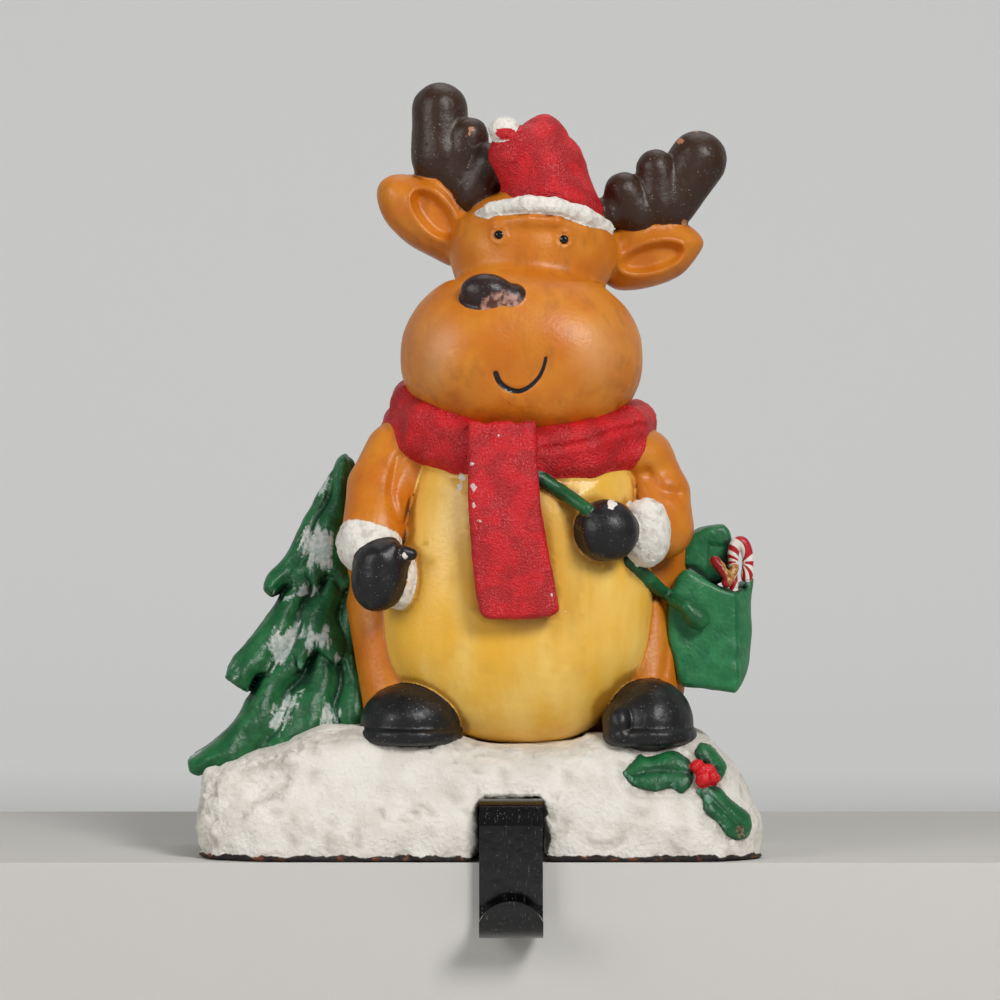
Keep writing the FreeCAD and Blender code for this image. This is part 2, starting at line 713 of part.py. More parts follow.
def hat():
    """A pointed hat folded over to its pom-pom, with a fur band and the rim of hair under it."""
    head_x, head_z = head_middle()
    x = head_x + 7.5
    z = head_z + s.brow_height + 11.5
    y = s.muzzle_forward
    top = z + s.hat_height
    tip = s.hat_tip_radius
    cone = limb("hat_cone", (x, y, z), s.hat_radius, (x + 0.2, y - 1.5, top), tip, 2)
    fold = limb("hat_fold", (x - 2, y - 1, z + 2), s.hat_radius * 0.82, (x - 9.2, y - 3, top - 3), tip * 0.74,
                2)
    pompom = ball("pompom", x - 11.6, y - 6.5, top + 2.4, s.pompom_radius, 4)
    band = hat_ring("hat_band", s.band_radius, s.band_height)
    place(band, x - 2.6, y - 2.5, z - 2.6, (1, -0.2, 0), -s.band_tilt)
    rim = hat_ring("hair_rim", s.band_radius * 0.955, s.band_height * 0.8)
    place(rim, x - 2.6, y - 2.5, z - 2.6 - s.band_height * 0.85, (1, -0.2, 0), -s.band_tilt)
    return [cone, fold, band, rim, pompom]


def hat_ring(name, rim, height):
    """A round-edged disc that shows as a ring round the head."""
    half = height / 2
    section = [
        (0, -half), (rim * 0.93, -half), (rim, -half * 0.35),
        (rim, half * 0.35), (rim * 0.93, half), (0, half),
    ]
    return turned(name, section)


# Tree

TREE_TIERS = [
    ("tree_top", 0, [
        (-0.05, 0.0), (-0.16, -0.09), (-0.32, -0.26), (-0.41, -0.36), (-0.54, -0.46), (-0.55, -0.5),
        (-0.48, -0.52), (-0.41, -0.48), (-0.34, -0.52), (-0.28, -0.46), (-0.21, -0.5), (-0.14, -0.46),
        (-0.06, -0.51), (0.02, -0.47), (0.03, -0.13)]),
    ("tree_middle", 1, [
        (-0.28, -0.37), (-0.48, -0.54), (-0.62, -0.65), (-0.75, -0.75), (-0.78, -0.81), (-0.71, -0.84),
        (-0.64, -0.86), (-0.57, -0.8), (-0.47, -0.81), (-0.39, -0.73), (-0.31, -0.79), (-0.22, -0.71),
        (-0.12, -0.77), (0.02, -0.73), (0.06, -0.52), (-0.02, -0.34)]),
    ("tree_bottom", 2, [
        (-0.49, -0.69), (-0.63, -0.86), (-0.73, -0.97), (-0.9, -1.05), (-1.0, -1.09), (-0.99, -1.14),
        (-0.81, -1.13), (-0.71, -1.13), (-0.57, -1.08), (-0.46, -1.09), (-0.35, -1.04), (-0.25, -1.05),
        (-0.14, -0.99), (-0.04, -1.03), (0.08, -0.98), (0.13, -0.87), (0.02, -0.69), (-0.18, -0.6)]),
]
BOUGHS = [
    (0, (-0.14, -0.2), (-0.46, -0.46)), (0, (-0.08, -0.2), (-0.22, -0.44)),
    (1, (-0.22, -0.5), (-0.68, -0.77)), (1, (-0.14, -0.5), (-0.4, -0.71)),
    (1, (-0.08, -0.52), (-0.14, -0.71)), (2, (-0.36, -0.78), (-0.9, -1.08)),
    (2, (-0.28, -0.78), (-0.6, -1.02)), (2, (-0.16, -0.78), (-0.26, -0.98)),
]


def tree():
    """Three tiers of boughs, each standing in front of the one above, with ridges for its boughs."""
    top = s.mound_height + s.tree_height
    x = -s.mound_left * 0.52
    forms = []
    for name, number, shares in TREE_TIERS:
        outline = scaled(shares, s.tree_reach, s.tree_height)
        depth = s.tree_depth - s.tree_step * (2 - number) - s.bough_radius * 0.5
        forms.append(place(relief(name, outline, 0, depth, 0, 1.6), x, s.mound_back, top))
    for index, (number, root, tip) in enumerate(BOUGHS, start=1):
        y = s.mound_back - s.tree_depth + s.tree_step * (2 - number) + s.bough_radius * 0.5
        start = (x + s.tree_reach * root[0], y + s.bough_radius * 0.5, top + s.tree_height * root[1])
        end = (x + s.tree_reach * tip[0], y + s.bough_radius * 0.2, top + s.tree_height * tip[1])
        forms.append(limb(f"bough_{index}", start, s.bough_radius, end, s.bough_radius * 0.55, 2))
    return forms


# Satchel

def satchel():
    """The open satchel with its raised back, strap, gift and candy cane."""
    x = s.body_shift + s.torso_half_width * 0.87
    z = s.mound_height + 10.4
    w, high = s.bag_width, s.bag_height
    front = s.mound_back - s.bag_depth
    shares = [
        (0.1, 0.0), (0.84, -0.02), (1.02, 0.18), (1.08, 0.9), (0.6, 0.9), (0.2, 1.0), (0.0, 0.85), (-0.04, 0.45),
    ]
    bag = relief("satchel_front", scaled(shares, w, high), 0, s.bag_depth, 0, s.bag_rounding)
    place(bag, x, s.mound_back, z)
    back = [(0.1, -0.5), (0.16, 0.4), (0.3, 0.8), (0.5, 1.0), (0.78, 1.04), (0.88, 0.8), (0.88, -0.5)]
    flap = relief("satchel_back", scaled(back, w, s.flap_height), 0, s.bag_depth * 0.7, 0, 1.5)
    place(flap, x, s.mound_back, z + high)
    gift = block("gift", x + w * 0.66, front + s.gift_side * 0.45, z + high - s.gift_side,
                 s.gift_side * 0.8, s.gift_side, s.gift_side * 1.3)
    gift.Placement = FreeCAD.Placement(gift.Placement.Base, FreeCAD.Rotation(FreeCAD.Vector(0, 1, 0), -12))
    r = s.cane_radius
    cane_y = front + s.gift_side * 0.75
    cane_x = x + w * 0.84
    cane_top = z + high * 1.17
    bend = s.cane_bend
    stem = limb("cane_stem", (cane_x, cane_y, z + high * 0.75), r, (cane_x, cane_y, cane_top), r, 2)
    knee = (cane_x + bend, cane_y, cane_top + bend * 0.75)
    arch = limb("cane_arch", (cane_x, cane_y, cane_top), r * 0.97, knee, r * 0.97, 2)
    tip = limb("cane_tip", knee, r * 0.94, (cane_x + bend * 1.7, cane_y, cane_top - bend * 1.1), r * 0.94, 2)
    r = s.bag_strap_radius
    mitten = s.mitten_forward + 3.5
    upper = limb("strap_above_mitten", on_body(0.12, mitten - 1, 0.792), r, on_body(0.47, mitten, 0.66), r, 2)
    middle = on_body(0.75, s.wrist_forward - 4, 0.46)
    lower = limb("strap_below_mitten", on_body(0.56, s.mitten_forward, 0.58), r, middle, r, 2)
    end = limb("strap_on_satchel", middle, r * 0.97, (x + w * 0.36, front, z + high * 0.6), r * 1.2, 2)
    return [bag, flap, gift, stem, arch, tip, upper, lower, end]


# Holly

def holly():
    """Three leaves and three berries on the right of the slope."""
    x = s.mound_right * 0.735
    z = s.mound_height * 0.74
    front = s.mound_front - s.mound_slope * 0.25
    shares = [(0.0, -0.1), (0.2, -0.5), (0.32, -0.3), (0.55, -0.52), (0.68, -0.3), (1.0, 0.05),
              (0.7, 0.28), (0.55, 0.5), (0.34, 0.3), (0.18, 0.48), (0.0, 0.12)]
    forms = []
    leaves = [("left_leaf", 1.0, 178, 0.0), ("lower_leaf", 1.0, -52, 0.4), ("upper_leaf", 0.6, 40, 2.5)]
    root = s.mound_slope * 1.5
    for name, share, angle, back in leaves:
        outline = scaled(shares, s.leaf_length * share, s.leaf_width * share)
        leaf = relief(name, outline, front - root, root + s.leaf_thickness - back, 0, 0)
        forms.append(place(leaf, x, 0, z, (0, 1, 0), -angle))
    for number, (u, v) in enumerate([(0, 0.6), (-0.9, -0.7), (0.9, -0.6)], start=1):
        forms.append(ball(f"berry_{number}", x + s.berry_radius * u, -front - s.leaf_thickness * 0.6,
                          z + s.berry_radius * v, s.berry_radius, 3))
    return forms


# Hollows behind the casting

def hollows():
    """What the foundry's cores leave open: the body, the head and the mound, all from the back."""
    wall = s.wall
    radius = s.belly_radius - wall * 1.15
    tall = s.belly_height
    lip = s.mound_back + 1
    section = [
        (0, wall * 1.3), (radius * 0.56, wall * 1.5), (radius * 0.9, tall * 0.17), (radius, tall * 0.34),
        (radius * 0.9, tall * 0.7), (radius * 0.66, tall), (0, tall),
    ]
    front = turned("body_core", section)
    place(front, s.body_shift, s.body_axis_back, s.mound_height - s.belly_sink)
    shares = [
        (-0.72, 0.06), (-0.84, 0.2), (-0.88, 0.6), (-0.84, 0.78), (-0.6, 0.86),
        (0.6, 0.86), (0.84, 0.78), (0.88, 0.6), (0.86, 0.2), (0.74, 0.06),
    ]
    back = relief("torso_core", scaled(shares, s.torso_half_width, s.torso_height), 0,
                  s.torso_depth - wall * 1.4 + 1, 0, 0)
    place(back, s.body_shift, lip, s.mound_height)
    half = (s.belly_neck_radius - wall) * 0.8
    neck = block("neck_core", s.body_shift + 1 - half, -half * 0.4, s.mound_height + s.torso_height * 0.7,
                 half * 2, lip + half * 0.4, s.torso_height * 0.4)
    x, z = head_middle()
    outline = oval(s.muzzle_half_width - wall * 1.2, s.muzzle_radius - wall, 16)
    deep = lip + s.muzzle_forward + s.muzzle_radius - wall * 1.9
    skull = relief("head_core", outline, 0, deep, 0, 5)
    place(skull, x, lip, z)
    outline = oval(s.brow_radius - wall, s.brow_radius - wall, 12)
    brow = relief("brow_core", outline, 0, s.mound_back - s.muzzle_forward + s.brow_radius * 0.45, 0, 3)
    place(brow, x + 3, lip, z + s.brow_height)
    base = [
        (-s.mound_left + wall * 1.8, s.floor_thickness), (s.mound_right - wall * 1.9, s.floor_thickness),
        (s.mound_right - wall * 2.4, s.mound_height * 0.6), (s.mound_right * 0.6, s.mound_height - wall),
        (-s.mound_left * 0.5, s.mound_height - wall), (-s.mound_left + wall * 2.2, s.mound_height * 0.62),
    ]
    under = relief("mound_core", base, -lip, lip + s.mound_front - wall * 0.8 - s.mound_slope, 0, 2)
    half = s.notch_width / 2 + s.boss_wall
    boss = block("channel_boss", -half, -s.mound_front - 1, 0, half * 2,
                 s.channel_length + s.boss_wall + 1, s.mound_height)
    fir = [(-0.08, -0.28), (-0.3, -0.5), (-0.46, -0.74), (-0.57, -0.94), (-0.08, -0.94)]
    boughs = relief("tree_core", scaled(fir, s.tree_reach, s.tree_height), 0,
                    s.tree_depth - s.tree_step * 2 - wall * 1.5 + 1, 0, 0)
    place(boughs, -s.mound_left * 0.52, lip, s.mound_height + s.tree_height)
    return [front, back, neck, skull, brow, boughs, cut("mound_core_round_boss", under, boss)]


# Channel, strap and screw

def channel():
    """The arched notch and the channel behind it, open to the shelf."""
    half = s.notch_width / 2
    arch = [
        (-half, -1), (half, -1), (half - s.notch_taper, s.notch_height), (-half + s.notch_taper, s.notch_height),
    ]
    body = relief("channel", arch, s.mound_front - s.channel_length, s.channel_length + 1, 0, 0)
    upper = [name for name in straight_edges(body.Shape, FreeCAD.Vector(0, 1, 0))
             if body.Shape.getElement(name).CenterOfMass.z > 1]
    fillet(body, body.Tip, upper, s.notch_rounding)
    screw_y = screw_place()
    hole = rod("screw_hole", 0, screw_y, s.notch_height - 1, s.screw_radius + s.thread_clearance,
               s.screw_length - s.strap_thickness + 2)
    return [body, hole]


def screw_place():
    """The screw's distance along Y, measured from the strap's end."""
    strap_end = -s.mound_front + s.channel_length - s.channel_clearance
    return strap_end - s.screw_from_end


def hook_strap():
    """The strap: a bent side profile as wide as the strap, with a round tip."""
    thick = s.strap_thickness
    top = s.notch_height
    strap_end = -s.mound_front + s.channel_length - s.channel_clearance
    leg = -s.mound_front - s.strap_gap
    bend = s.strap_bend
    outer = bend + thick
    j_inner = s.hook_radius
    j_outer = j_inner + thick
    j_middle = -s.strap_drop + j_outer
    tip_y = leg - thick - j_inner * 2
    body = new_body("bent_strap")
    sketch = new_sketch(body, "YZ_Plane", -s.strap_width / 2)
    # The profile in order: underside of the tail, inner bend, back of the leg, outer J, tip, inner J,
    # front of the leg, outer bend, top of the tail, end.
    bend_middle = (leg + bend, top - thick - bend)
    hook_middle = (leg - thick - j_inner, j_middle)
    tip_top = j_middle + s.hook_rise
    corners = {
        "tail_low": (strap_end, top - thick),
        "bend_in_top": (bend_middle[0], top - thick),
        "bend_in_leg": (leg, bend_middle[1]),
        "leg_back_low": (leg, j_middle),
        "tip_out_low": (tip_y - thick, j_middle),
        "tip_out_top": (tip_y - thick, tip_top),
        "tip_in_top": (tip_y, tip_top),
        "tip_in_low": (tip_y, j_middle),
        "leg_front_low": (leg - thick, j_middle),
        "bend_out_leg": (leg - thick, bend_middle[1]),
        "bend_out_top": (bend_middle[0], top),
        "tail_top": (strap_end, top),
    }
    names = list(corners)
    points = [FreeCAD.Vector(as_size(corners[n][0]).number, as_size(corners[n][1]).number, 0) for n in names]
    arcs = {1: (bend_middle, bend, math.pi / 2, math.pi), 3: (hook_middle, j_outer, math.pi, 2 * math.pi),
            7: (hook_middle, j_inner, math.pi, 2 * math.pi), 9: (bend_middle, outer, math.pi / 2, math.pi)}
    for index in range(len(names)):
        if index in arcs:
            middle, radius, first, last = arcs[index]
            centre = FreeCAD.Vector(as_size(middle[0]).number, as_size(middle[1]).number, 0)
            circle = Part.Circle(centre, FreeCAD.Vector(0, 0, 1), as_size(radius).number)
            sketch.addGeometry(Part.ArcOfCircle(circle, first, last), False)
        else:
            sketch.addGeometry(Part.LineSegment(points[index], points[(index + 1) % len(names)]), False)
    ends = {1: (1, 2), 3: (2, 1), 7: (1, 2), 9: (2, 1)}
    for index in range(len(names)):
        following = (index + 1) % len(names)
        last_end = ends.get(index, (1, 2))[1]
        next_start = ends.get(following, (1, 2))[0]
        constrain(sketch, "Coincident", index, last_end, following, next_start)
    for index, name in enumerate(names):
        start = ends.get(index, (1, 2))[0]
        y, z = corners[name]
        constrain(sketch, "DistanceX", -1, 1, index, start, size=as_size(y))
        constrain(sketch, "DistanceY", -1, 1, index, start, size=as_size(z))
    constrain(sketch, "Radius", 1, size=bend)
    constrain(sketch, "Radius", 9, size=outer)
    pad = body.newObject("PartDesign::Pad", "strap_pad")
    pad.Profile = sketch
    pad.Length = s.strap_width.number
    bind(pad, "Length", s.strap_width)
    document.recompute()
    half = s.strap_width / 2
    rise = s.tip_rise
    arch_radius = (half * half + rise * rise) / (rise * 2)
    corners = block("tip_corners", -half - 1, tip_y - thick - 1, tip_top - rise,
                    s.strap_width + 2, thick + 1 + j_inner, rise + 1)
    arch = rod("tip_arch", 0, tip_y + j_inner + 1, tip_top - arch_radius, arch_radius, thick + j_inner + 3)
    place(arch, 0, tip_y + j_inner + 1, tip_top - arch_radius, (1, 0, 0), 90)
    hole = rod("strap_hole", 0, screw_place(), top - thick - 1, s.screw_radius + s.screw_clearance, thick + 2)
    return cut("hook_strap", body, join("strap_cuts", [cut("tip_round", corners, arch), hole]))


def hook_screw():
    """The pan-head screw under the strap."""
    under = s.notch_height - s.strap_thickness
    head = rod("screw_head", 0, screw_place(), under - s.screw_head_height, s.screw_head_radius, s.screw_head_height)
    shank = rod("screw_shank", 0, screw_place(), under - 0.5, s.screw_radius, s.screw_length + 0.5)
    slot = block("screw_slot", -s.screw_head_radius - 1, screw_place() - s.slot_width / 2,
                 under - s.screw_head_height - 1, s.screw_head_radius * 2 + 2, s.slot_width, s.slot_depth + 1)
    return cut("hook_screw", join("screw_blank", [head, shank]), slot)


def casting():
    """The whole figure as one casting: its forms joined, cut flat at the back and hollowed."""
    ear_forms, ear_hollows = ears()
    groups = [
        ("snow", mound() + holly()), ("trunk", torso() + belly() + legs()), ("feet", boots()),
        ("limbs", arms()), ("neck", scarf()), ("face", head()), ("crown", ear_forms + antlers() + hat()),
        ("boughs", tree()), ("baggage", satchel()),
    ]
    figure = None
    for name, forms in groups:
        group = join(name, forms)
        figure = group if figure is None else join("figure_with_" + name, [figure, group])
    width = (s.mound_left + s.mound_right) * 2
    behind = block("behind_the_back", -width / 2, s.mound_back, -s.mound_height, width, s.mound_back, width * 2)
    away = [behind] + hollows() + channel() + ear_hollows + [smile()]
    return cut("figure_casting", figure, join("cores_and_cuts", away))


def check_document():
    """Stops with a plain message when any object of the document failed."""
    for thing in document.Objects:
        if "Invalid" in thing.State or "Error" in thing.State:
            raise RuntimeError(f"{thing.Name} is in state {thing.State}")


def write_parts(parts):
    """Checks each sub-part's shape and writes it to its own file."""
    for part in parts:
        if part.Shape.isNull() or not part.Shape.isValid():
            raise RuntimeError(f"{part.Label} has no valid shape")
    os.makedirs("parts", exist_ok=True)
    for part in parts:
        part.Shape.exportStep(os.path.join("parts", part.Label + ".step"))
        solids = part.Shape.Solids
        print(part.Label, len(solids), "solid(s)", round(sum(solid.Volume for solid in solids), 1), "mm3")


parts = [casting(), hook_strap(), hook_screw()]
for part in parts:
    part.Label = part.Name
document.recompute()
check_document()
write_parts(parts)
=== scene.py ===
"""A painted cast reindeer that stands on a mantel shelf and holds a stocking on its hook.

The figure is sculpted from rounded forms, in millimetres, in the frame of the model:
X to the right, Z up, the front towards -Y, and the shelf at Z = 0.
"""
from collections import namedtuple
import math

import bpy
import numpy as np
import openvdb
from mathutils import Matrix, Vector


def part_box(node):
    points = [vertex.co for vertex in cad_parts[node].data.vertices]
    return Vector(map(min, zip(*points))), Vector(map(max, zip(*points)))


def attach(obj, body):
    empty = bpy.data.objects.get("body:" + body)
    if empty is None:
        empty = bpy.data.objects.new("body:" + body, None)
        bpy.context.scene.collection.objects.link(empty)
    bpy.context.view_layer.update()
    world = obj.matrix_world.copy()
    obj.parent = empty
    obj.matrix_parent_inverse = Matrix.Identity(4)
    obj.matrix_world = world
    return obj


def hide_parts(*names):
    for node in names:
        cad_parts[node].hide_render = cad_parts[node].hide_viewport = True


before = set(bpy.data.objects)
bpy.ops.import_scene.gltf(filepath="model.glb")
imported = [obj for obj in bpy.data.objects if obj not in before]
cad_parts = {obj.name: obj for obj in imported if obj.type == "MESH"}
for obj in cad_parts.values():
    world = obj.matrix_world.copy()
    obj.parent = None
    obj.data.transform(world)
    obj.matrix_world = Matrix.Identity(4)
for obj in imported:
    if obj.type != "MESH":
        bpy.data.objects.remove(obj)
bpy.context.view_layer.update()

MM = 0.001
BACK = 26.0          # the flat back of the casting
FAR = 3.0            # distance beyond which the fields aren't needed
MARGIN = 2.5         # empty space round a sculpted piece
EDGE = 0.8           # rounding of the edges at the back and of the hollows

# a solid given by its distance function, with the corners of a box that holds it
Form = namedtuple("Form", "distance low high")


# Distances and forms

def soft_min(a, b, width):
    """The nearer of two distances, with a fillet of about this width between them."""
    if width <= 0:
        return np.minimum(a, b)
    near = np.maximum(width - np.abs(a - b), 0) / width
    return np.minimum(a, b) - near * near * width / 4


def soft_max(a, b, width):
    """The farther of two distances, with an edge rounded by about this width."""
    return -soft_min(-a, -b, width)


def ramp(value, start, end):
    """Rises smoothly from 0 to 1 as the value goes from start to end."""
    t = np.clip((value - start) / (end - start), 0, 1)
    return t * t * (3 - 2 * t)


def egg(centre, radii, lean=0):
    """An ellipsoid, its X axis leaning up by so many degrees seen from the front."""
    cx, cy, cz = centre
    rx, ry, rz = radii
    cos_lean = math.cos(math.radians(lean))
    sin_lean = math.sin(math.radians(lean))

    def distance(x, y, z):
        dx = x - cx
        dz = z - cz
        u = (dx * cos_lean + dz * sin_lean) / rx
        w = (dz * cos_lean - dx * sin_lean) / rz
        v = (y - cy) / ry
        near = np.sqrt(u * u + v * v + w * w)
        slope = np.sqrt((u / rx) ** 2 + (v / ry) ** 2 + (w / rz) ** 2)
        return near * (near - 1) / np.maximum(slope, 1e-5)

    widest = max(rx, rz)
    reach = np.array((widest, ry, widest) if lean else radii, float)
    return Form(distance, centre - reach, centre + reach)


def bone(start, end, start_radius, end_radius):
    """A rounded limb between two points."""
    a = np.array(start, float)
    b = np.array(end, float)
    run = b - a
    length_squared = float(run @ run)

    def distance(x, y, z):
        px = x - a[0]
        py = y - a[1]
        pz = z - a[2]
        t = np.clip((px * run[0] + py * run[1] + pz * run[2]) / length_squared, 0, 1)
        away = np.sqrt((px - t * run[0]) ** 2 + (py - t * run[1]) ** 2 + (pz - t * run[2]) ** 2)
        return away - (start_radius + (end_radius - start_radius) * t)

    widest = max(start_radius, end_radius)
    return Form(distance, np.minimum(a, b) - widest, np.maximum(a, b) + widest)


def chain(points, radii):
    """A roll that follows the points, with a radius at each of them."""
    links = [bone(*ends) for ends in zip(points, points[1:], radii, radii[1:])]

    def distance(x, y, z):
        best = links[0].distance(x, y, z)
        for link in links[1:]:
            best = soft_min(best, link.distance(x, y, z), 0.6)
        return best

    return Form(distance, np.min([link.low for link in links], axis=0),
                np.max([link.high for link in links], axis=0))


def smooth_line(points, closed=True, corners=(), steps=4):
    """A curve through the points in X and Z, which turns sharply only at the named corners."""
    count = len(points)
    line = []
    for i in range(count if closed else count - 1):
        picked = [(i + k) % count if closed else min(max(i + k, 0), count - 1) for k in (-1, 0, 1, 2)]
        p = [np.array(points[k], float) for k in picked]
        along = (p[2] - p[1]) / 2
        leave = along if i in corners else (p[2] - p[0]) / 2
        arrive = along if (i + 1) % count in corners else (p[3] - p[1]) / 2
        for k in range(steps):
            t = k / steps
            line.append((2 * t**3 - 3 * t**2 + 1) * p[1] + (t**3 - 2 * t**2 + t) * leave
                        + (3 * t**2 - 2 * t**3) * p[2] + (t**3 - t**2) * arrive)
    if not closed:
        line.append(np.array(points[-1], float))
    return line


def line_distance(line, closed):
    """Distance in X and Z to a line, negative inside it if it is closed."""
    ends = line[1:] + line[:1] if closed else line[1:]

    def distance(x, z):
        best = np.inf
        inside = False
        for (ax, az), (bx, bz) in zip(line, ends):
            ex = bx - ax
            ez = bz - az
            px = x - ax
            pz = z - az
            t = np.clip((px * ex + pz * ez) / (ex * ex + ez * ez + 1e-9), 0, 1)
            best = np.minimum(best, (px - t * ex) ** 2 + (pz - t * ez) ** 2)
            if closed and ez != 0:
                inside = inside ^ (((az > z) != (bz > z)) & (px < pz * ex / ez))
        return np.where(inside, -1, 1) * np.sqrt(best)

    return distance


def stroke(points):
    """Distance in X and Z to a smooth open line."""
    return line_distance(smooth_line(points, closed=False), closed=False)


def outline(points, corners=()):
    """Distance in X and Z to a smooth outline, and its lowest and highest X and Z."""
    line = smooth_line(points, corners=corners)
    return line_distance(line, closed=True), np.min(line, axis=0), np.max(line, axis=0)


def relief(points, front, back, bulge, reach, corners=()):
    """An outline carried back from its front, which swells forward like a pillow.

    The front is a Y or a function of X and Z. It swells by the bulge, over the reach inside
    the outline.
    """
    flat, low, high = outline(points, corners)

    def distance(x, y, z):
        edge = flat(x, z)
        depth = np.clip(-edge / reach, 0, 1)
        face = front(x, z) if callable(front) else front
        face = face - bulge * np.sqrt(1 - (1 - depth) ** 2) - y
        return np.maximum(np.maximum(edge, face * 0.75), y - back)

    first = -36 if callable(front) else front - bulge
    return Form(distance, (low[0], first, low[1]), (high[0], back, high[1]))


def rounded(u, v, radius):
    """Distance to a rounded edge, from the distances to its two faces."""
    u = u + radius
    v = v + radius
    return np.minimum(np.maximum(u, v), 0) + np.hypot(np.maximum(u, 0), np.maximum(v, 0)) - radius


def slab(points, front, back, radius, corners=()):
    """A plate of this outline with rounded edges."""
    flat, low, high = outline(points, corners)
    middle = (front + back) / 2
    half = (back - front) / 2
    return Form(lambda x, y, z: rounded(flat(x, z), np.abs(y - middle) - half, radius),
                (low[0], front, low[1]), (high[0], back, high[1]))


def both(first, second, width=0):
    """What two forms share."""
    return Form(lambda x, y, z: soft_max(first.distance(x, y, z), second.distance(x, y, z), width),
                np.maximum(first.low, second.low), np.minimum(first.high, second.high))


def beyond(point, normal):
    """The half of space behind a plane, which a form is cut to with both()."""
    n = np.array(normal, float)
    n = n / np.linalg.norm(n)
    wide = np.full(3, 1000.0)
    return Form(lambda x, y, z: (x - point[0]) * n[0] + (y - point[1]) * n[1] + (z - point[2]) * n[2],
                -wide, wide)


def noise(x, y, z, size, seed):
    """Smooth lumps of this size, between -1 and 1, the same in every run."""
    cells = 32
    table = np.random.default_rng(seed).uniform(-1, 1, (cells, cells, cells))
    parts = []
    for value in (x, y, z):
        scaled = np.asarray(value, float) / size
        whole = np.floor(scaled)
        part = scaled - whole
        parts.append((whole.astype(int) % cells, part * part * (3 - 2 * part)))
    total = 0
    for corner in np.ndindex(2, 2, 2):
        weight = 1
        place = []
        for (whole, part), step in zip(parts, corner):
            weight = weight * (part if step else 1 - part)
            place.append((whole + step) % cells)
        total = total + weight * table[tuple(place)]
    return total


def spots(places, last=1000):
    """Distance in X and Z to the nearest of some round spots, none of them behind the last Y."""
    return lambda x, y, z: 4 * (y > last) + np.min(
        [np.hypot(x - cx, z - cz) - radius for cx, cz, radius in places], axis=0)


def put(name, data):
    """A new object in the scene."""
    made = bpy.data.objects.new(name, data)
    bpy.context.scene.collection.objects.link(made)
    return made


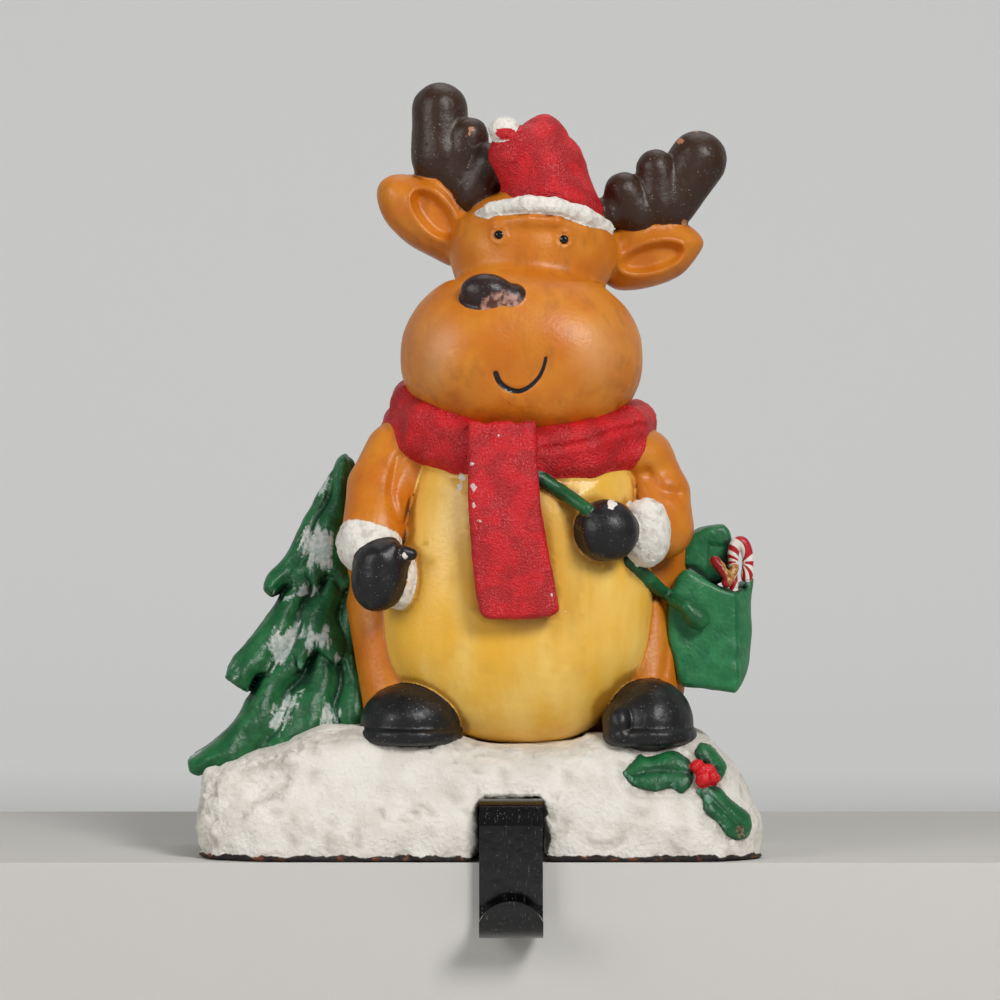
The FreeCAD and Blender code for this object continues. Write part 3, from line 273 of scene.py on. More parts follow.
class Sculpt:
    """A piece built up from forms, each with its paint, and meshed at a fine pitch."""

    def __init__(self, name, low, high, pitch):
        self.name = name
        self.pitch = pitch
        self.low = np.array(low, float) - MARGIN
        counts = np.ceil((np.array(high, float) + MARGIN - self.low) / pitch).astype(int) + 1
        steps = [start + pitch * np.arange(count) for start, count in zip(self.low, counts)]
        self.x, self.y, self.z = np.meshgrid(*steps, indexing="ij", sparse=True)
        self.field = np.full(tuple(counts), FAR, np.float32)
        self.hollows = self.field.copy()
        self.paints = {}
        self.marks = {}

    def window(self, low, high):
        """The part of the grid round a box, and its coordinates."""
        start = np.floor((np.array(low) - FAR - self.low) / self.pitch).astype(int)
        end = np.ceil((np.array(high) + FAR - self.low) / self.pitch).astype(int) + 1
        view = tuple(slice(a, b) for a, b in np.clip([start, end], 0, self.field.shape).T)
        return view, self.x[view[0]], self.y[:, view[1]], self.z[:, :, view[2]]

    def add(self, paint, form, blend=1):
        view, x, y, z = self.window(form.low, form.high)
        self.field[view] = soft_min(self.field[view], form.distance(x, y, z), blend)
        self.paints.setdefault(paint, []).append(form)

    def carve(self, form, blend=0.6):
        view, x, y, z = self.window(form.low, form.high)
        self.field[view] = soft_max(self.field[view], -form.distance(x, y, z), blend)

    def lift(self, height, low, high):
        """Moves the surface out by height(x, y, z), in a box, or in where it is negative."""
        view, x, y, z = self.window(low, high)
        self.field[view] -= height(x, y, z)

    def groove(self, points, depth, width, low, high, share=lambda y: y < 0):
        """Presses a line into the front, in a box."""
        away = stroke(points)
        self.lift(lambda x, y, z: -depth * np.exp(-(away(x, z) / width) ** 2) * share(y), low, high)

    def empty(self, view, inner):
        """Cuts a space out, and counts what it leaves as the inside of the casting."""
        self.field[view] = soft_max(self.field[view], -inner, EDGE)
        self.hollows[view] = np.minimum(self.hollows[view], inner)

    def hollow(self, wall, points, front):
        """Opens the back inside an outline, behind a wall of even thickness and the front, a function of X."""
        flat, low, high = outline(points)
        rounding = 3
        view, x, y, z = self.window((low[0], FRONT, low[1]), (high[0], BACK, high[1]))
        inner = soft_max(self.field[view] + wall, flat(x, z), rounding)
        self.empty(view, soft_max(inner, front(x) - y, rounding))

    def open_through(self, form):
        """Opens the whole of a form."""
        view, x, y, z = self.window(form.low, form.high)
        self.empty(view, form.distance(x, y, z))

    def trim(self, floor=0, inset=0):
        """Cuts the flat back, a little inside the casting's, and the bottom where the piece ends."""
        self.field = soft_max(self.field, self.y - BACK + inset, EDGE)
        self.field = soft_max(self.field, floor - self.z, EDGE)

    def front(self, x, z):
        """The Y of the surface that is seen at X and Z."""
        i = int(round((x - self.low[0]) / self.pitch))
        k = int(round((z - self.low[2]) / self.pitch))
        column = self.field[i, :, k]
        first = int(np.argmax(column < 0))
        above = column[first - 1]
        share = above / (above - column[first])
        return float(self.low[1] + self.pitch * (first - 1 + share))

    def sample(self, field, points):
        """A field at points, from the nearest grid corner."""
        cell = np.rint((points - self.low) / self.pitch).astype(int)
        return field[tuple(np.clip(cell, 0, np.array(field.shape) - 1).T)]

    def build(self, adaptivity, texture, material):
        """Meshes the piece, roughens it, and keeps on its surface what its paint needs to know."""
        grid = openvdb.FloatGrid(FAR)
        grid.copyFromArray(np.ascontiguousarray(self.field, np.float32))
        points, triangles, quads = grid.convertToPolygons(isovalue=0.0, adaptivity=adaptivity)
        points = np.asarray(points, float) * self.pitch + self.low
        split = [quads[:, (0, 1, 2)], quads[:, (0, 2, 3)]]
        if len(triangles):
            split.append(triangles)
        faces = np.concatenate(split).astype(int)
        a, b, c = (points[faces[:, i]] for i in range(3))
        if np.einsum("ij,ij->i", a, np.cross(b, c)).sum() < 0:
            faces = faces[:, ::-1]
        normals = self.normals(points, faces)
        cut = 0.4
        flat = (points[:, 1] > BACK - cut) | (points[:, 2] < cut)
        shares = self.paint_shares(points)
        # how far each point lies in a crease, which the paints darken as painted shade
        reach = 2.4
        cavity = np.clip((reach - self.sample(self.field, points + normals * reach)) / reach, 0, 1)
        inside = 1.6
        rim = np.clip((self.sample(self.field, points - normals * inside) + inside) / inside, 0, 1)
        height = texture(*points.T, shares) * ramp(self.sample(self.hollows, points), 0.8, 2.4)
        points = points + normals * np.where(flat, 0, height)[:, None]
        mesh = bpy.data.meshes.new(self.name)
        mesh.vertices.add(len(points))
        mesh.vertices.foreach_set("co", (points * MM).ravel())
        mesh.loops.add(len(faces) * 3)
        mesh.loops.foreach_set("vertex_index", faces.ravel())
        mesh.polygons.add(len(faces))
        mesh.polygons.foreach_set("loop_start", np.arange(len(faces)) * 3)
        mesh.polygons.foreach_set("use_smooth", np.ones(len(faces), bool))
        mesh.update(calc_edges=True)
        mesh.validate()
        values = dict(shares)
        for name, distance in self.marks.items():
            values[name] = distance(*points.T)
        values.update(inside=self.sample(self.hollows, points) - 1.8, cavity=cavity, rim=rim)
        for name, value in values.items():
            layer = mesh.attributes.new(name, "FLOAT", "POINT")
            layer.data.foreach_set("value", np.asarray(value, np.float32))
        mesh.materials.append(material)
        piece = put(self.name, mesh)
        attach(piece, "root")
        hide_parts("figure_casting")
        print(self.name, "triangles", len(faces))

    @staticmethod
    def normals(points, faces):
        a, b, c = (points[faces[:, i]] for i in range(3))
        across = np.cross(b - a, c - a)
        total = np.zeros_like(points)
        for i in range(3):
            for k in range(3):
                total[:, k] += np.bincount(faces[:, i], across[:, k], len(points))
        return total / np.maximum(np.linalg.norm(total, axis=1), 1e-9)[:, None]

    def paint_shares(self, points):
        """For each paint, how much nearer its own forms are than the others', below zero on them."""
        away = {}
        for paint, forms in self.paints.items():
            away[paint] = np.min([np.clip(form.distance(*points.T), -FAR, 2 * FAR) for form in forms], axis=0)
        shares = {}
        for paint in away:
            others = [away[other] for other in away if other != paint]
            shares[paint] = away[paint] - (np.min(others, axis=0) if others else 2 * FAR)
        return shares


def on(shares, *paints):
    """How much of each point lies on these paints, from 0 to 1."""
    return np.max([ramp(-shares[paint], -0.2, 0.4) for paint in paints], axis=0)


# Materials

def srgb(red, green, blue):
    """A colour given as it looks on a screen, 0 to 255."""
    linear = []
    for value in (red, green, blue):
        part = value / 255
        linear.append(part / 12.92 if part <= 0.04045 else ((part + 0.055) / 1.055) ** 2.4)
    return (*linear, 1)


SKIN = srgb(200, 110, 14)
# painted shade in the creases of the skin
SKIN_CREASE_SHADE = srgb(104, 56, 18)
BELLY = srgb(238, 180, 56)
# painted shade in the creases of the belly
BELLY_CREASE_SHADE = srgb(190, 132, 40)
RED = srgb(204, 5, 20)
# pale pink of the flecks: painted glints on the grain, and rubbed paint
RED_GLINT_FLECK = srgb(220, 84, 88)
WHITE = srgb(234, 229, 219)
# painted shade in the pits and creases of the snow
WHITE_SHADE = srgb(150, 140, 128)
GREEN = srgb(16, 84, 44)
# painted shade in the creases of the green paint
GREEN_SHADE = srgb(10, 50, 30)
FROST = srgb(176, 190, 184)
BROWN = srgb(52, 30, 16)
BLACK = srgb(20, 20, 22)
IRON = srgb(58, 46, 40)
RUST = srgb(120, 66, 36)
GOLD = srgb(196, 150, 84)
PINK = srgb(178, 134, 118)


class Paint:
    """A material built up in coats over a base colour."""

    def __init__(self, name, colour, roughness):
        self.material = bpy.data.materials.new(name)
        self.material.use_nodes = True
        self.tree = self.material.node_tree
        self.shader = self.tree.nodes["Principled BSDF"]
        self.place = self.pull(self.node("TexCoord").outputs["Object"], (1 / MM, 1 / MM, 1 / MM))
        self.colour = colour
        self.roughness = roughness
        self.height = 0

    def feed(self, socket, source):
        """Joins an input to an output, or sets it to a value."""
        if isinstance(source, bpy.types.NodeSocket):
            self.tree.links.new(source, socket)
        else:
            socket.default_value = source

    def give(self, sources):
        """Feeds inputs of the shader, by name."""
        for name, source in sources.items():
            self.feed(self.shader.inputs[name], source)

    def node(self, kind, *sources, **settings):
        """A new node with these settings, its first inputs fed from the sources."""
        node = self.tree.nodes.new("ShaderNode" + kind)
        for name, value in settings.items():
            setattr(node, name, value)
        for socket, source in zip(node.inputs, sources):
            self.feed(socket, source)
        return node

    def pull(self, place, stretch):
        return self.node("VectorMath", place, stretch, operation="MULTIPLY").outputs[0]

    def grain(self, size, detail=2, stretch=None):
        """Noise between 0 and 1, with lumps of this size in mm."""
        node = self.node("TexNoise", self.pull(self.place, stretch) if stretch else self.place)
        node.inputs["Scale"].default_value = 1 / size
        node.inputs["Detail"].default_value = detail
        return node.outputs["Fac"]

    def maths(self, operation, *sources):
        return self.node("Math", *sources, operation=operation).outputs[0]

    def times(self, first, second):
        return self.maths("MULTIPLY", first, second)

    def bumps(self, size, detail, height):
        """Noise up to this height, for the relief of a coat."""
        return self.times(self.grain(size, detail), height)

    def attribute(self, name):
        return self.node("Attribute", attribute_name=name).outputs["Fac"]

    def axis(self, name):
        """A coordinate, in mm."""
        return self.node("SeparateXYZ", self.place).outputs[name]

    def band(self, source, start, end):
        """Rises from 0 to 1 as the source goes from start to end, or falls if start is the larger."""
        ends = (start, end, 0, 1) if start < end else (end, start, 1, 0)
        return self.node("MapRange", source, *ends, interpolation_type="SMOOTHSTEP").outputs["Result"]

    def area(self, name, ragged=0.25, size=0.9, soft=0.08, offset=0):
        """The mask of what lies on a form's paint, with an edge as ragged as brushwork."""
        wander = self.maths("MULTIPLY_ADD", self.grain(size, 3), 2 * ragged, offset - ragged)
        return self.band(self.maths("ADD", self.attribute(name), wander), soft, -soft)

    def mix(self, mask, first, second, kind="RGBA"):
        """The first where the mask is 0 and the second where it is 1, colours or numbers (FLOAT)."""
        node = self.node("Mix", mask, data_type=kind)
        place, result = (6, 2) if kind == "RGBA" else (2, 0)
        self.feed(node.inputs[place], first)
        self.feed(node.inputs[place + 1], second)
        return node.outputs[result]

    def coat(self, mask, colour, roughness=None, height=None):
        """Lays a colour over the coats below, where the mask is 1."""
        self.colour = self.mix(mask, self.colour, colour)
        if roughness is not None:
            self.roughness = self.mix(mask, self.roughness, roughness, "FLOAT")
        if height is not None:
            self.height = self.mix(mask, self.height, height, "FLOAT")

    def blend_of(self, first, second, size, low=0.4, high=0.6, detail=2, stretch=None):
        """Two colours, mottled with lumps of this size."""
        return self.mix(self.band(self.grain(size, detail, stretch), low, high), first, second)

    def finish(self, depth=0.3, specular=0.45):
        """The material, with its relief of this depth in mm."""
        bump = self.node("Bump")
        bump.inputs["Strength"].default_value = 1
        bump.inputs["Distance"].default_value = depth * MM
        self.feed(bump.inputs["Height"], self.height)
        self.give({"Normal": bump.outputs["Normal"], "Base Color": self.colour, "Roughness": self.roughness,
                   "Specular IOR Level": specular})
        return self.material


def figure_paint(name, base, coats):
    """The paint of a sculpted piece: a base coat, then each of the coats that it carries."""
    paint = Paint(name, base, 0.41)
    for coat in coats:
        coat(paint)
    bare_back(paint)
    return paint.finish()


def skin_coat(paint):
    """Ochre, with darker brown painted into the creases as painted shade, and brown brushed on thinly."""
    paint.colour = paint.blend_of(SKIN, srgb(212, 132, 34), 9, 0.3, 0.75)
    # painted shade: the creases turn darker brown
    crease = paint.times(paint.attribute("cavity"), paint.band(paint.grain(5), 0.25, 0.6))
    paint.coat(paint.band(crease, 0.3, 0.9), SKIN_CREASE_SHADE)
    brushed = paint.band(paint.grain(3.4, 4, (1, 1, 0.4)), 0.52, 0.78)
    paint.coat(paint.times(brushed, 0.45), srgb(156, 88, 22))
    paint.height = paint.bumps(0.9, 4, 0.35)


def white_coat(mask_name, ragged=0.3):
    """Off-white, mottled with grey."""
    def coat(paint):
        tone = paint.blend_of(WHITE, srgb(200, 192, 180), 2, 0.45, 0.75, 4)
        paint.coat(paint.area(mask_name, ragged), tone, 0.62, paint.bumps(0.7, 4, 1.1))
    return coat


def red_coat(mask_name):
    """Red with the sugar grain of flocking, and pale pink flecks that are partly painted glints on the grain
    and partly rubbed paint.
    """
    def coat(paint):
        # pale pink flecks: painted glints on the grain, and rubbed paint, denser in rubbed patches
        flecks = paint.band(paint.grain(0.42, 1), 0.54, 0.66)
        rubbed = paint.band(paint.grain(7, 3), 0.4, 0.7)
        fleck_mask = paint.times(flecks, paint.maths("MULTIPLY_ADD", rubbed, 0.7, 0.12))
        tone = paint.mix(fleck_mask, paint.blend_of(RED, srgb(176, 3, 16), 5), RED_GLINT_FLECK)
        paint.coat(paint.area(mask_name, 0.2), tone, 0.5, paint.bumps(0.45, 1, 1.5))
    return coat


def black_coat(mask_name, ragged=0.35, colour=BLACK, roughness=0.4):
    """Near black with a satin gloss and specks of dust."""
    def coat(paint):
        specks = paint.band(paint.grain(0.42, 1), 0.725, 0.76)
        tone = paint.mix(specks, colour, srgb(150, 146, 140))
        paint.coat(paint.area(mask_name, ragged, 1.2), tone, roughness, paint.bumps(1.3, 3, 0.5))
    return coat


def green_coat(mask_name, ragged=0.25, frost=0, tone=GREEN, light=srgb(28, 104, 56)):
    """Deep green, with painted shade darkening the creases, and white brushed over what stands out."""
    def coat(paint):
        green = paint.blend_of(tone, light, 3.5, 0.35, 0.7)
        # painted shade: a darker green in the creases
        green = paint.mix(paint.band(paint.attribute("cavity"), 0.05, 0.6), green, GREEN_SHADE)
        worn = paint.times(paint.attribute("rim"), paint.band(paint.grain(2.2, 3), 0.45, 0.62))
        green = paint.mix(paint.band(worn, 0.15, 0.75 - frost), green, srgb(92, 142, 116))
        paint.coat(paint.area(mask_name, ragged), green, 0.4, paint.bumps(1, 3, 0.6))
    return coat


def bare_back(paint):
    """The flat back and the hollows carry thin dark paint over rough iron."""
    mask = paint.maths("MAXIMUM", paint.band(paint.axis("Y"), BACK - 0.9, BACK - 0.4),
                       paint.band(paint.attribute("inside"), 0.15, -0.15))
    paint.coat(mask, paint.blend_of(srgb(40, 34, 32), IRON, 4), 0.65, paint.bumps(0.8, 4, 1))


# The measures of the figure

FRONT = -30.0        # the foremost face of the base
LEAN_BACK = 8        # how far the base's front leans back towards its top
ROUND_END = 7        # how far its two ends stand back
STIPPLE = 0.62       # depth of the stippling on the snow


def mound_front(x, z, rise=0):
    """The Y of the snow's face, or of what rises on it. It leans back and rounds off at both ends."""
    left = ROUND_END * ramp(-x, 56, 78)
    right = ROUND_END * ramp(x, 44, 62)
    return FRONT + LEAN_BACK * ramp(z, 4, 30) + left + right - rise


MOUND = [
    (-71.4, -3.5), (-73.4, 1.6), (-75, 7.5), (-74.7, 16), (-73.2, 20.8), (-67, 23), (-58, 25.6), (-47.5, 30),
    (-38, 31), (-16, 30), (-8, 27.6), (12, 27.2), (21, 29.2), (44.5, 28.9), (50.6, 24.4), (55, 20.2),
    (57.4, 16), (59.4, 11), (60.8, 6.5), (59.8, 1.4), (57, -3.5), (0, -5),
]


def build_snow():
    """The snow mound with the holly on its front, open at the back either side of the hook."""
    snow = Sculpt("snow_base", (-78, -33, 0), (64, BACK, 34), 0.54)
    flat, low, high = outline(MOUND)

    def mound(x, y, z):
        return soft_max(flat(x, z), (mound_front(x, z) - y) * 0.95, 8)

    snow.add("snow", Form(mound, (low[0], -31, -5), (high[0], BACK + 8, high[1])))
    dents = (
        ((-39, -31, 14), (3, 2.6, 9), -12), ((-22, -29.5, 20), (9, 2, 4), 20),
        ((20, -30.5, 14), (5, 2, 8), 20), ((-60, -25, 19), (6, 3, 3.4), 25),
    )
    for dent in dents:
        snow.carve(egg(*dent), 5)

    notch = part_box("hook_strap")
    half = (notch[1].x - notch[0].x) / 2 / MM + 0.65
    roof = 15.2
    slot = [(-half - 0.5, -6), (half + 0.5, -6), (half, roof - 2.2), (half - 1.6, roof),
            (-half + 1.6, roof), (-half, roof - 2.2)]
    snow.carve(slab(slot, -40, -5.6, 0.3, corners=range(6)), 1.2)

    leaf_left = [
        (26.6, 20.6), (28.6, 22.6), (30.6, 25), (32.6, 24.2), (34.8, 24.7), (38.6, 25.6), (42.2, 23.6),
        (43.4, 21), (42.6, 17.8), (40.4, 15.9), (38, 17.2), (34.6, 16.4), (31, 17), (28.4, 18.2),
    ]
    leaf_top = [(44, 24.8), (45.2, 27.4), (47.6, 26.8), (49.6, 24.6), (51.4, 22), (50, 18.8),
                (47.6, 20.8)]
    leaf_right = [
        (44, 16.6), (46.8, 18), (49.8, 16.9), (52, 14.4), (54.4, 12.6), (57, 10.4), (57.3, 7.6), (56, 5.2),
        (53.4, 4.9), (51, 6.2), (49, 9.2), (46, 11.6), (45.4, 14.6),
    ]
    for points, corners in ((leaf_left, (0, 2, 6, 9, 11)), (leaf_top, (1, 5)), (leaf_right, (1, 5, 8))):
        snow.add("leaf", relief(points, lambda x, z: mound_front(x, z, 0.2), 0, 1.5, 2.4, corners), 0.3)
    veins = [
        [(28, 20.2), (35, 21.4), (43, 20.6)], [(46, 22.6), (49.4, 21)],
        [(46.4, 15.8), (50.6, 11.6), (55.6, 6.8)],
    ]
    for vein in veins:
        snow.groove(vein, 0.5, 0.7, (25, -34, 3), (59, -14, 29))
    for x, z, r in ((44.3, 22.2, 1.8), (46.9, 21, 1.9), (45.6, 19.2, 1.9), (48.2, 19.4, 1.6)):
        snow.add("berry", egg((x, mound_front(x, z, 1.4), z), (r, r, r)), 0.3)
    snow.marks["chip"] = egg((54.6, mound_front(54.6, 6.6, 1.4), 6.8), (1.7, 1.2, 1.6)).distance

    floor = 4.8
    under = [(-66.6, floor), (-66, 17), (-58, 20.4), (-46, 24), (-17, 24), (0, 23.4), (16, 23), (40, 23.4),
             (48, 18), (51.6, 9), (52, floor)]
    snow.hollow(4.2, under, lambda x: 0.6 - 19.6 * ramp(np.abs(x), 12, 17))
    snow.trim()

    def pits(x, y, z):
        return ramp(noise(x, y, z, 1.9, 15), 0.25, 0.7)

    snow.marks["pits"] = pits

    def texture(x, y, z, shares):
        on_snow = ramp(-shares["snow"], -0.3, 0.3)
        rough = 0.3 + 0.9 * ramp(noise(x, y, z, 13, 3), -0.5, 0.25) * ramp(-x, -40, 20)
        fine = 0.7 * noise(x, y, z, 1.2, 11) + noise(x, y, z, 2.4, 12)
        lumps = 0.7 * noise(x, y, z, 11, 13) + 0.45 * noise(x, y, z, 5, 14)
        return on_snow * (STIPPLE * rough * (fine - 1.4 * pits(x, y, z)) + lumps)

    paint = Paint("painted_snow", WHITE, 0.62)
    paint.colour = paint.blend_of(WHITE, srgb(218, 211, 200), 7, 0.35, 0.75, 4)
    # painted shade: grey-brown in the pits and in the creases of the snow
    shade = paint.times(paint.attribute("pits"), 0.5)
    pit_and_crease_shade = paint.maths("MAXIMUM", shade, paint.band(paint.attribute("cavity"), 0.04, 0.6))
    paint.coat(pit_and_crease_shade, paint.blend_of(WHITE_SHADE, srgb(176, 166, 150), 4))
    paint.height = paint.bumps(1.1, 4, 2)
    green_coat("leaf", 0.3, 0.2)(paint)
    paint.coat(paint.area("chip", 0.5), paint.blend_of(srgb(112, 112, 78), IRON, 0.8), 0.6)
    paint.coat(paint.area("berry", 0.15), RED, 0.25)
    torn = paint.maths("MULTIPLY_ADD", paint.grain(3.2, 4), 2.6, -1.3)
    low_edge = paint.maths("ADD", paint.axis("Z"), torn)
    tone = paint.blend_of(srgb(38, 30, 28), RUST, 3, 0.55, 0.66)
    paint.coat(paint.band(low_edge, 1.35, 1.05), tone, 0.6)
    bare_back(paint)
    snow.build(0.015, texture, paint.finish())


TORSO = [
    (-31, 100), (-36.6, 93), (-40.2, 85), (-41.4, 74), (-40, 60), (-39, 50), (-36.4, 42), (-31, 32), (-8, 25),
    (20, 25), (40, 33), (43.2, 46), (44.4, 60), (43.8, 70), (43.4, 79), (41.6, 86), (37, 94), (31, 100),
    (2, 106),
]
BELLY_LINE = [
    (-20, 97), (-26, 82.5), (-30, 67), (-31.2, 55), (-29.8, 45), (-24, 36), (-14, 29), (1.6, 26.4),
    (16.4, 28.4), (26, 36), (32, 45), (34, 55), (34.2, 67), (31.4, 82.5), (27, 97), (3, 104),
]


def sole(centre, radii):
    """A flat slice of an egg, with a groove between it and the boot above."""
    top = beyond((0, 0, 30.8), (0, 0, 1))
    bottom = beyond((0, 0, 26.9), (0, 0, -1))
    return both(both(egg(centre, radii), top, 1.4), bottom, 1.6)


NECK = slab([(-11.4, 92), (-11.4, 120), (16.4, 120), (16.4, 92)], -5, 40, 4, corners=range(4))


def build_body():
    """The seated body with its arms, mittens, boots, scarf and the satchel's strap."""
    body = Sculpt("reindeer_body", (-46, -33, 24), (50, BACK, 116), 0.5)
    add = body.add
    add("skin", relief(TORSO, 9, 60, 12, 15), 2)
    add("skin", bone((-31.8, 0.6, 60), (-27.8, -3.6, 36), 8.2, 8), 2)
    add("skin", bone((33.4, 0.6, 58), (33, -3.2, 38), 6.6, 7.6), 2)
    add("belly", relief(BELLY_LINE, -4, 40, 19, 26), 0.8)
    left_arm = chain([(-28.4, -2, 97), (-31.6, -6, 88.6), (-32.8, -12, 78.5)], [7.2, 8, 7.8])
    add("skin", left_arm, 1.2)
    add("skin", bone((-25, -5, 94), (-27, -7, 84), 6, 4.4), 2.5)
    right_arm = chain([(32.4, -1, 96), (36, -4, 86.6), (36.6, -7, 79), (31, -15, 78)],
                      [6.8, 7.6, 7.6, 5.6])
    add("skin", right_arm, 1.2)
    add("cuff", egg((-33.8, -13.8, 75), (8, 7.6, 8), 20), 0.5)
    add("cuff", egg((-27, -15.4, 66.8), (4.6, 6.4, 7.4)), 0.8)
    add("cuff", egg((32.4, -17, 77.8), (5.9, 6.6, 8.2)), 0.5)
    add("mitten", egg((-31.4, -19, 67.2), (6.8, 7.2, 8.4), -12), 0.4)
    add("mitten", egg((-30.6, -19.6, 71.4), (6.6, 6.4, 4.8), 10), 1.6)
    add("mitten", bone((-28, -22.6, 73.2), (-23.8, -22.4, 72.6), 2.3, 1.4), 0.6)
    add("mitten", egg((22.6, -23.5, 78.2), (7.8, 6.6, 7.4)), 0.4)

    # boots, each an upper and a sole with a groove between them
    for centre, across, rise in (((-24.2, -13), 12.3, 41.4), ((33.6, -13), 10.8, 42.6)):
        x, y = centre
        add("boot", egg((x, y + 1, 32), (across - 0.4, 12.6, rise - 32)), 0.6)
        add("boot", sole((x, y, 29.4), (across + 0.4, 13.4, 8)), 0.7)
    add("boot", egg((26, -17, 32.6), (4.2, 8, 5.2)), 0.5)
    add("boot", sole((26.6, -16, 29.4), (4.6, 9, 6.4)), 0.5)

    # the scarf: an upper and a lower roll round the neck, and the tail down the front
    add("skin", egg((2, 8, 101), (24, 20, 14)), 1)
    nape = [(-22, 90), (-23, 110), (0, 114), (27, 109), (26, 90)]
    add("skin", slab(nape, 2, 40, 5), 1)
    upper = chain(
        [(-23.8, 30, 111), (-24.2, 12, 110.6), (-24, -2, 108.6), (-19.8, -11, 104.4),
         (-10, -18, 99.4), (4, -20.5, 97.4), (18, -17.4, 99.6), (28.2, -9, 103.6),
         (31.2, 2, 104.2), (31.6, 14, 105.4), (31.2, 30, 106.6)],
        [4.6, 4.8, 5.2, 5.2, 5, 5, 5, 4.8, 4.4, 4.4, 4.4])
    lower = chain(
        [(-26.2, 30, 105), (-26.8, 12, 104.4), (-26.4, 0, 103), (-21.6, -9.6, 99.8),
         (-12, -16.6, 96.4), (4, -19.8, 94.8), (18, -16.4, 95), (28.4, -8.6, 97.8),
         (31.2, 1, 99), (31.6, 14, 100.2), (31.2, 30, 101.2)],
        [4.4, 4.6, 4.6, 4.8, 4.6, 4.4, 4.6, 4.6, 4.6, 4.6, 4.6])
    add("scarf", upper, 0.8)
    add("scarf", lower, 1.6)
    fold = [(8, 97.6), (17, 99), (25, 102), (32, 103.4)]
    body.groove(fold, 0.9, 0.8, (8, -32, 98), (36, 10, 110))

    tail_line = [
        (-10.2, 104.2), (-10.4, 92), (-9.6, 76), (-8.2, 63), (-7, 58.4), (-4.6, 57.4), (3, 57.2),
        (10.6, 58.2), (12, 60.2), (10, 68), (8.2, 77), (6.6, 88), (6, 104.2),
    ]
    tail_flat = outline(tail_line, corners=(0, 12))[0]

    def tail(x, y, z):
        over = -27.4 + 0.0022 * np.square(z - 72) + 0.006 * np.square(x)
        return rounded(tail_flat(x, z), np.abs(y - over) - 2.6, 1.3)

    add("scarf", Form(tail, (-11, -31, 57), (13, -18, 105)), 0.5)
    for x in (-5.6, 1.6):
        body.lift(lambda u, y, z, x=x: -0.5 * np.exp(-((u - x) / 1) ** 2) * ramp(z, 92, 100) * (y < -10),
                  (-12, -34, 90), (8, -14, 106))
    add("skin", egg((32, -4, 96), (7, 8, 6)), 2)
    body.carve(egg((14, -25.5, 67), (2.6, 2.2, 11), -8), 3)
    body.carve(egg((-12, -25, 84), (1.6, 1.4, 12), -3), 2)

    strap_upper = [(6.4, 91), (12, 87.6), (18, 83.4)]
    strap_lower = [(28.6, 71), (33, 66.6), (37.6, 62.4), (42.6, 59.4), (45.6, 56.6)]
    for run, rises in ((strap_upper, (0.4, 0.6, 0.8)), (strap_lower, (0.6, 1, 2, 4, 5))):
        points = [(x, body.front(x, z) - rise if x < 40 else -9, z) for (x, z), rise in zip(run, rises)]
        add("strap", chain(points, [1.7] * len(points)), 0.4)
    add("strap", egg((44.8, -8, 57.2), (3.4, 3.2, 2.8), -35), 0.8)

    # the seam where the belly meets the haunches, and the fold at each armpit
    for line, depth, width in (
        ([(-27, 96), (-28.8, 87), (-26.8, 80)], 1, 1.1),
        ([(-21, 93), (-25.6, 80), (-26.6, 72)], 0.5, 0.7),
        ([(33, 92), (36, 88), (40, 87)], 1, 1.4),
        ([(36.6, 62), (38.2, 52), (37, 43)], 0.6, 0.9),
    ):
        (left, bottom), (right, top) = np.min(line, axis=0) - 3, np.max(line, axis=0) + 3
        body.groove(line, depth, width, (left, -33, bottom), (right, 12, top), lambda y: ramp(-y, -4, 4))

    inner = [(-33, 37), (-36, 50), (-37, 72), (-34.5, 88), (-24, 95), (-13.5, 98), (-12.8, 116),
             (17.8, 116), (18.5, 98), (29, 95), (37.6, 88), (39, 72), (38.6, 50), (34, 37)]
    body.hollow(4.4, inner, lambda x: 16 * ramp(np.abs(x - 1.5), 14, 30) - 14)
    body.open_through(NECK)

    body.marks["flecks"] = spots(((-8.8, 88.6, 0.9), (-8.4, 84.2, 0.8), (2.6, 88.4, 1), (-2.6, 101, 0.6),
                                  (-7.6, 80.6, 0.4), (4.2, 91, 0.5), (-9.2, 94, 0.5), (9.6, 63, 0.4)), 0)
    body.marks["bare"] = spots(((-11.8, 91, 1.1), (-12.2, 88.4, 1), (12.8, 58.6, 0.7), (24, 84.6, 1.4),
                                (28.6, 84.4, 1), (30.4, 70.2, 1), (-25.2, 72.2, 0.8)), 0)
    body.trim(25, 0.1)

    def texture(x, y, z, shares):
        height = 0.10 * noise(x, y, z, 4.5, 21) + 0.16 * noise(x, y, z, 9, 22)
        height += on(shares, "scarf") * 0.14 * noise(x, y, z, 1.3, 23)
        height += on(shares, "cuff") * (0.24 * noise(x, y, z, 1, 24) + 0.3 * noise(x, y, z, 3, 25))
        height += on(shares, "mitten", "boot") * 0.16 * noise(x, y, z, 2.6, 26)
        return height

    def belly_coat(paint):
        tone = paint.blend_of(BELLY, srgb(247, 204, 106), 9, 0.3, 0.75, 3, (1, 1, 0.4))
        # painted shade: the belly's creases turn a darker ochre
        tone = paint.mix(paint.band(paint.attribute("cavity"), 0.08, 0.8), tone, BELLY_CREASE_SHADE)
        paint.coat(paint.area("belly", 0.25, 1.4, 0.2), tone, 0.33, paint.bumps(1.1, 3, 0.3))

    def worn_spots(paint):
        paint.coat(paint.area("flecks", 0.9, 1), srgb(216, 188, 184), 0.5)
        paint.coat(paint.area("bare", 0.9, 1.2, 0.08, 0.2), WHITE, 0.5)

    body.build(0.01, texture, figure_paint("painted_body", SKIN, [
        skin_coat, belly_coat, white_coat("cuff", 0.35), red_coat("scarf"), green_coat("strap"),
        black_coat("mitten", 0.5), black_coat("boot"), worn_spots]))


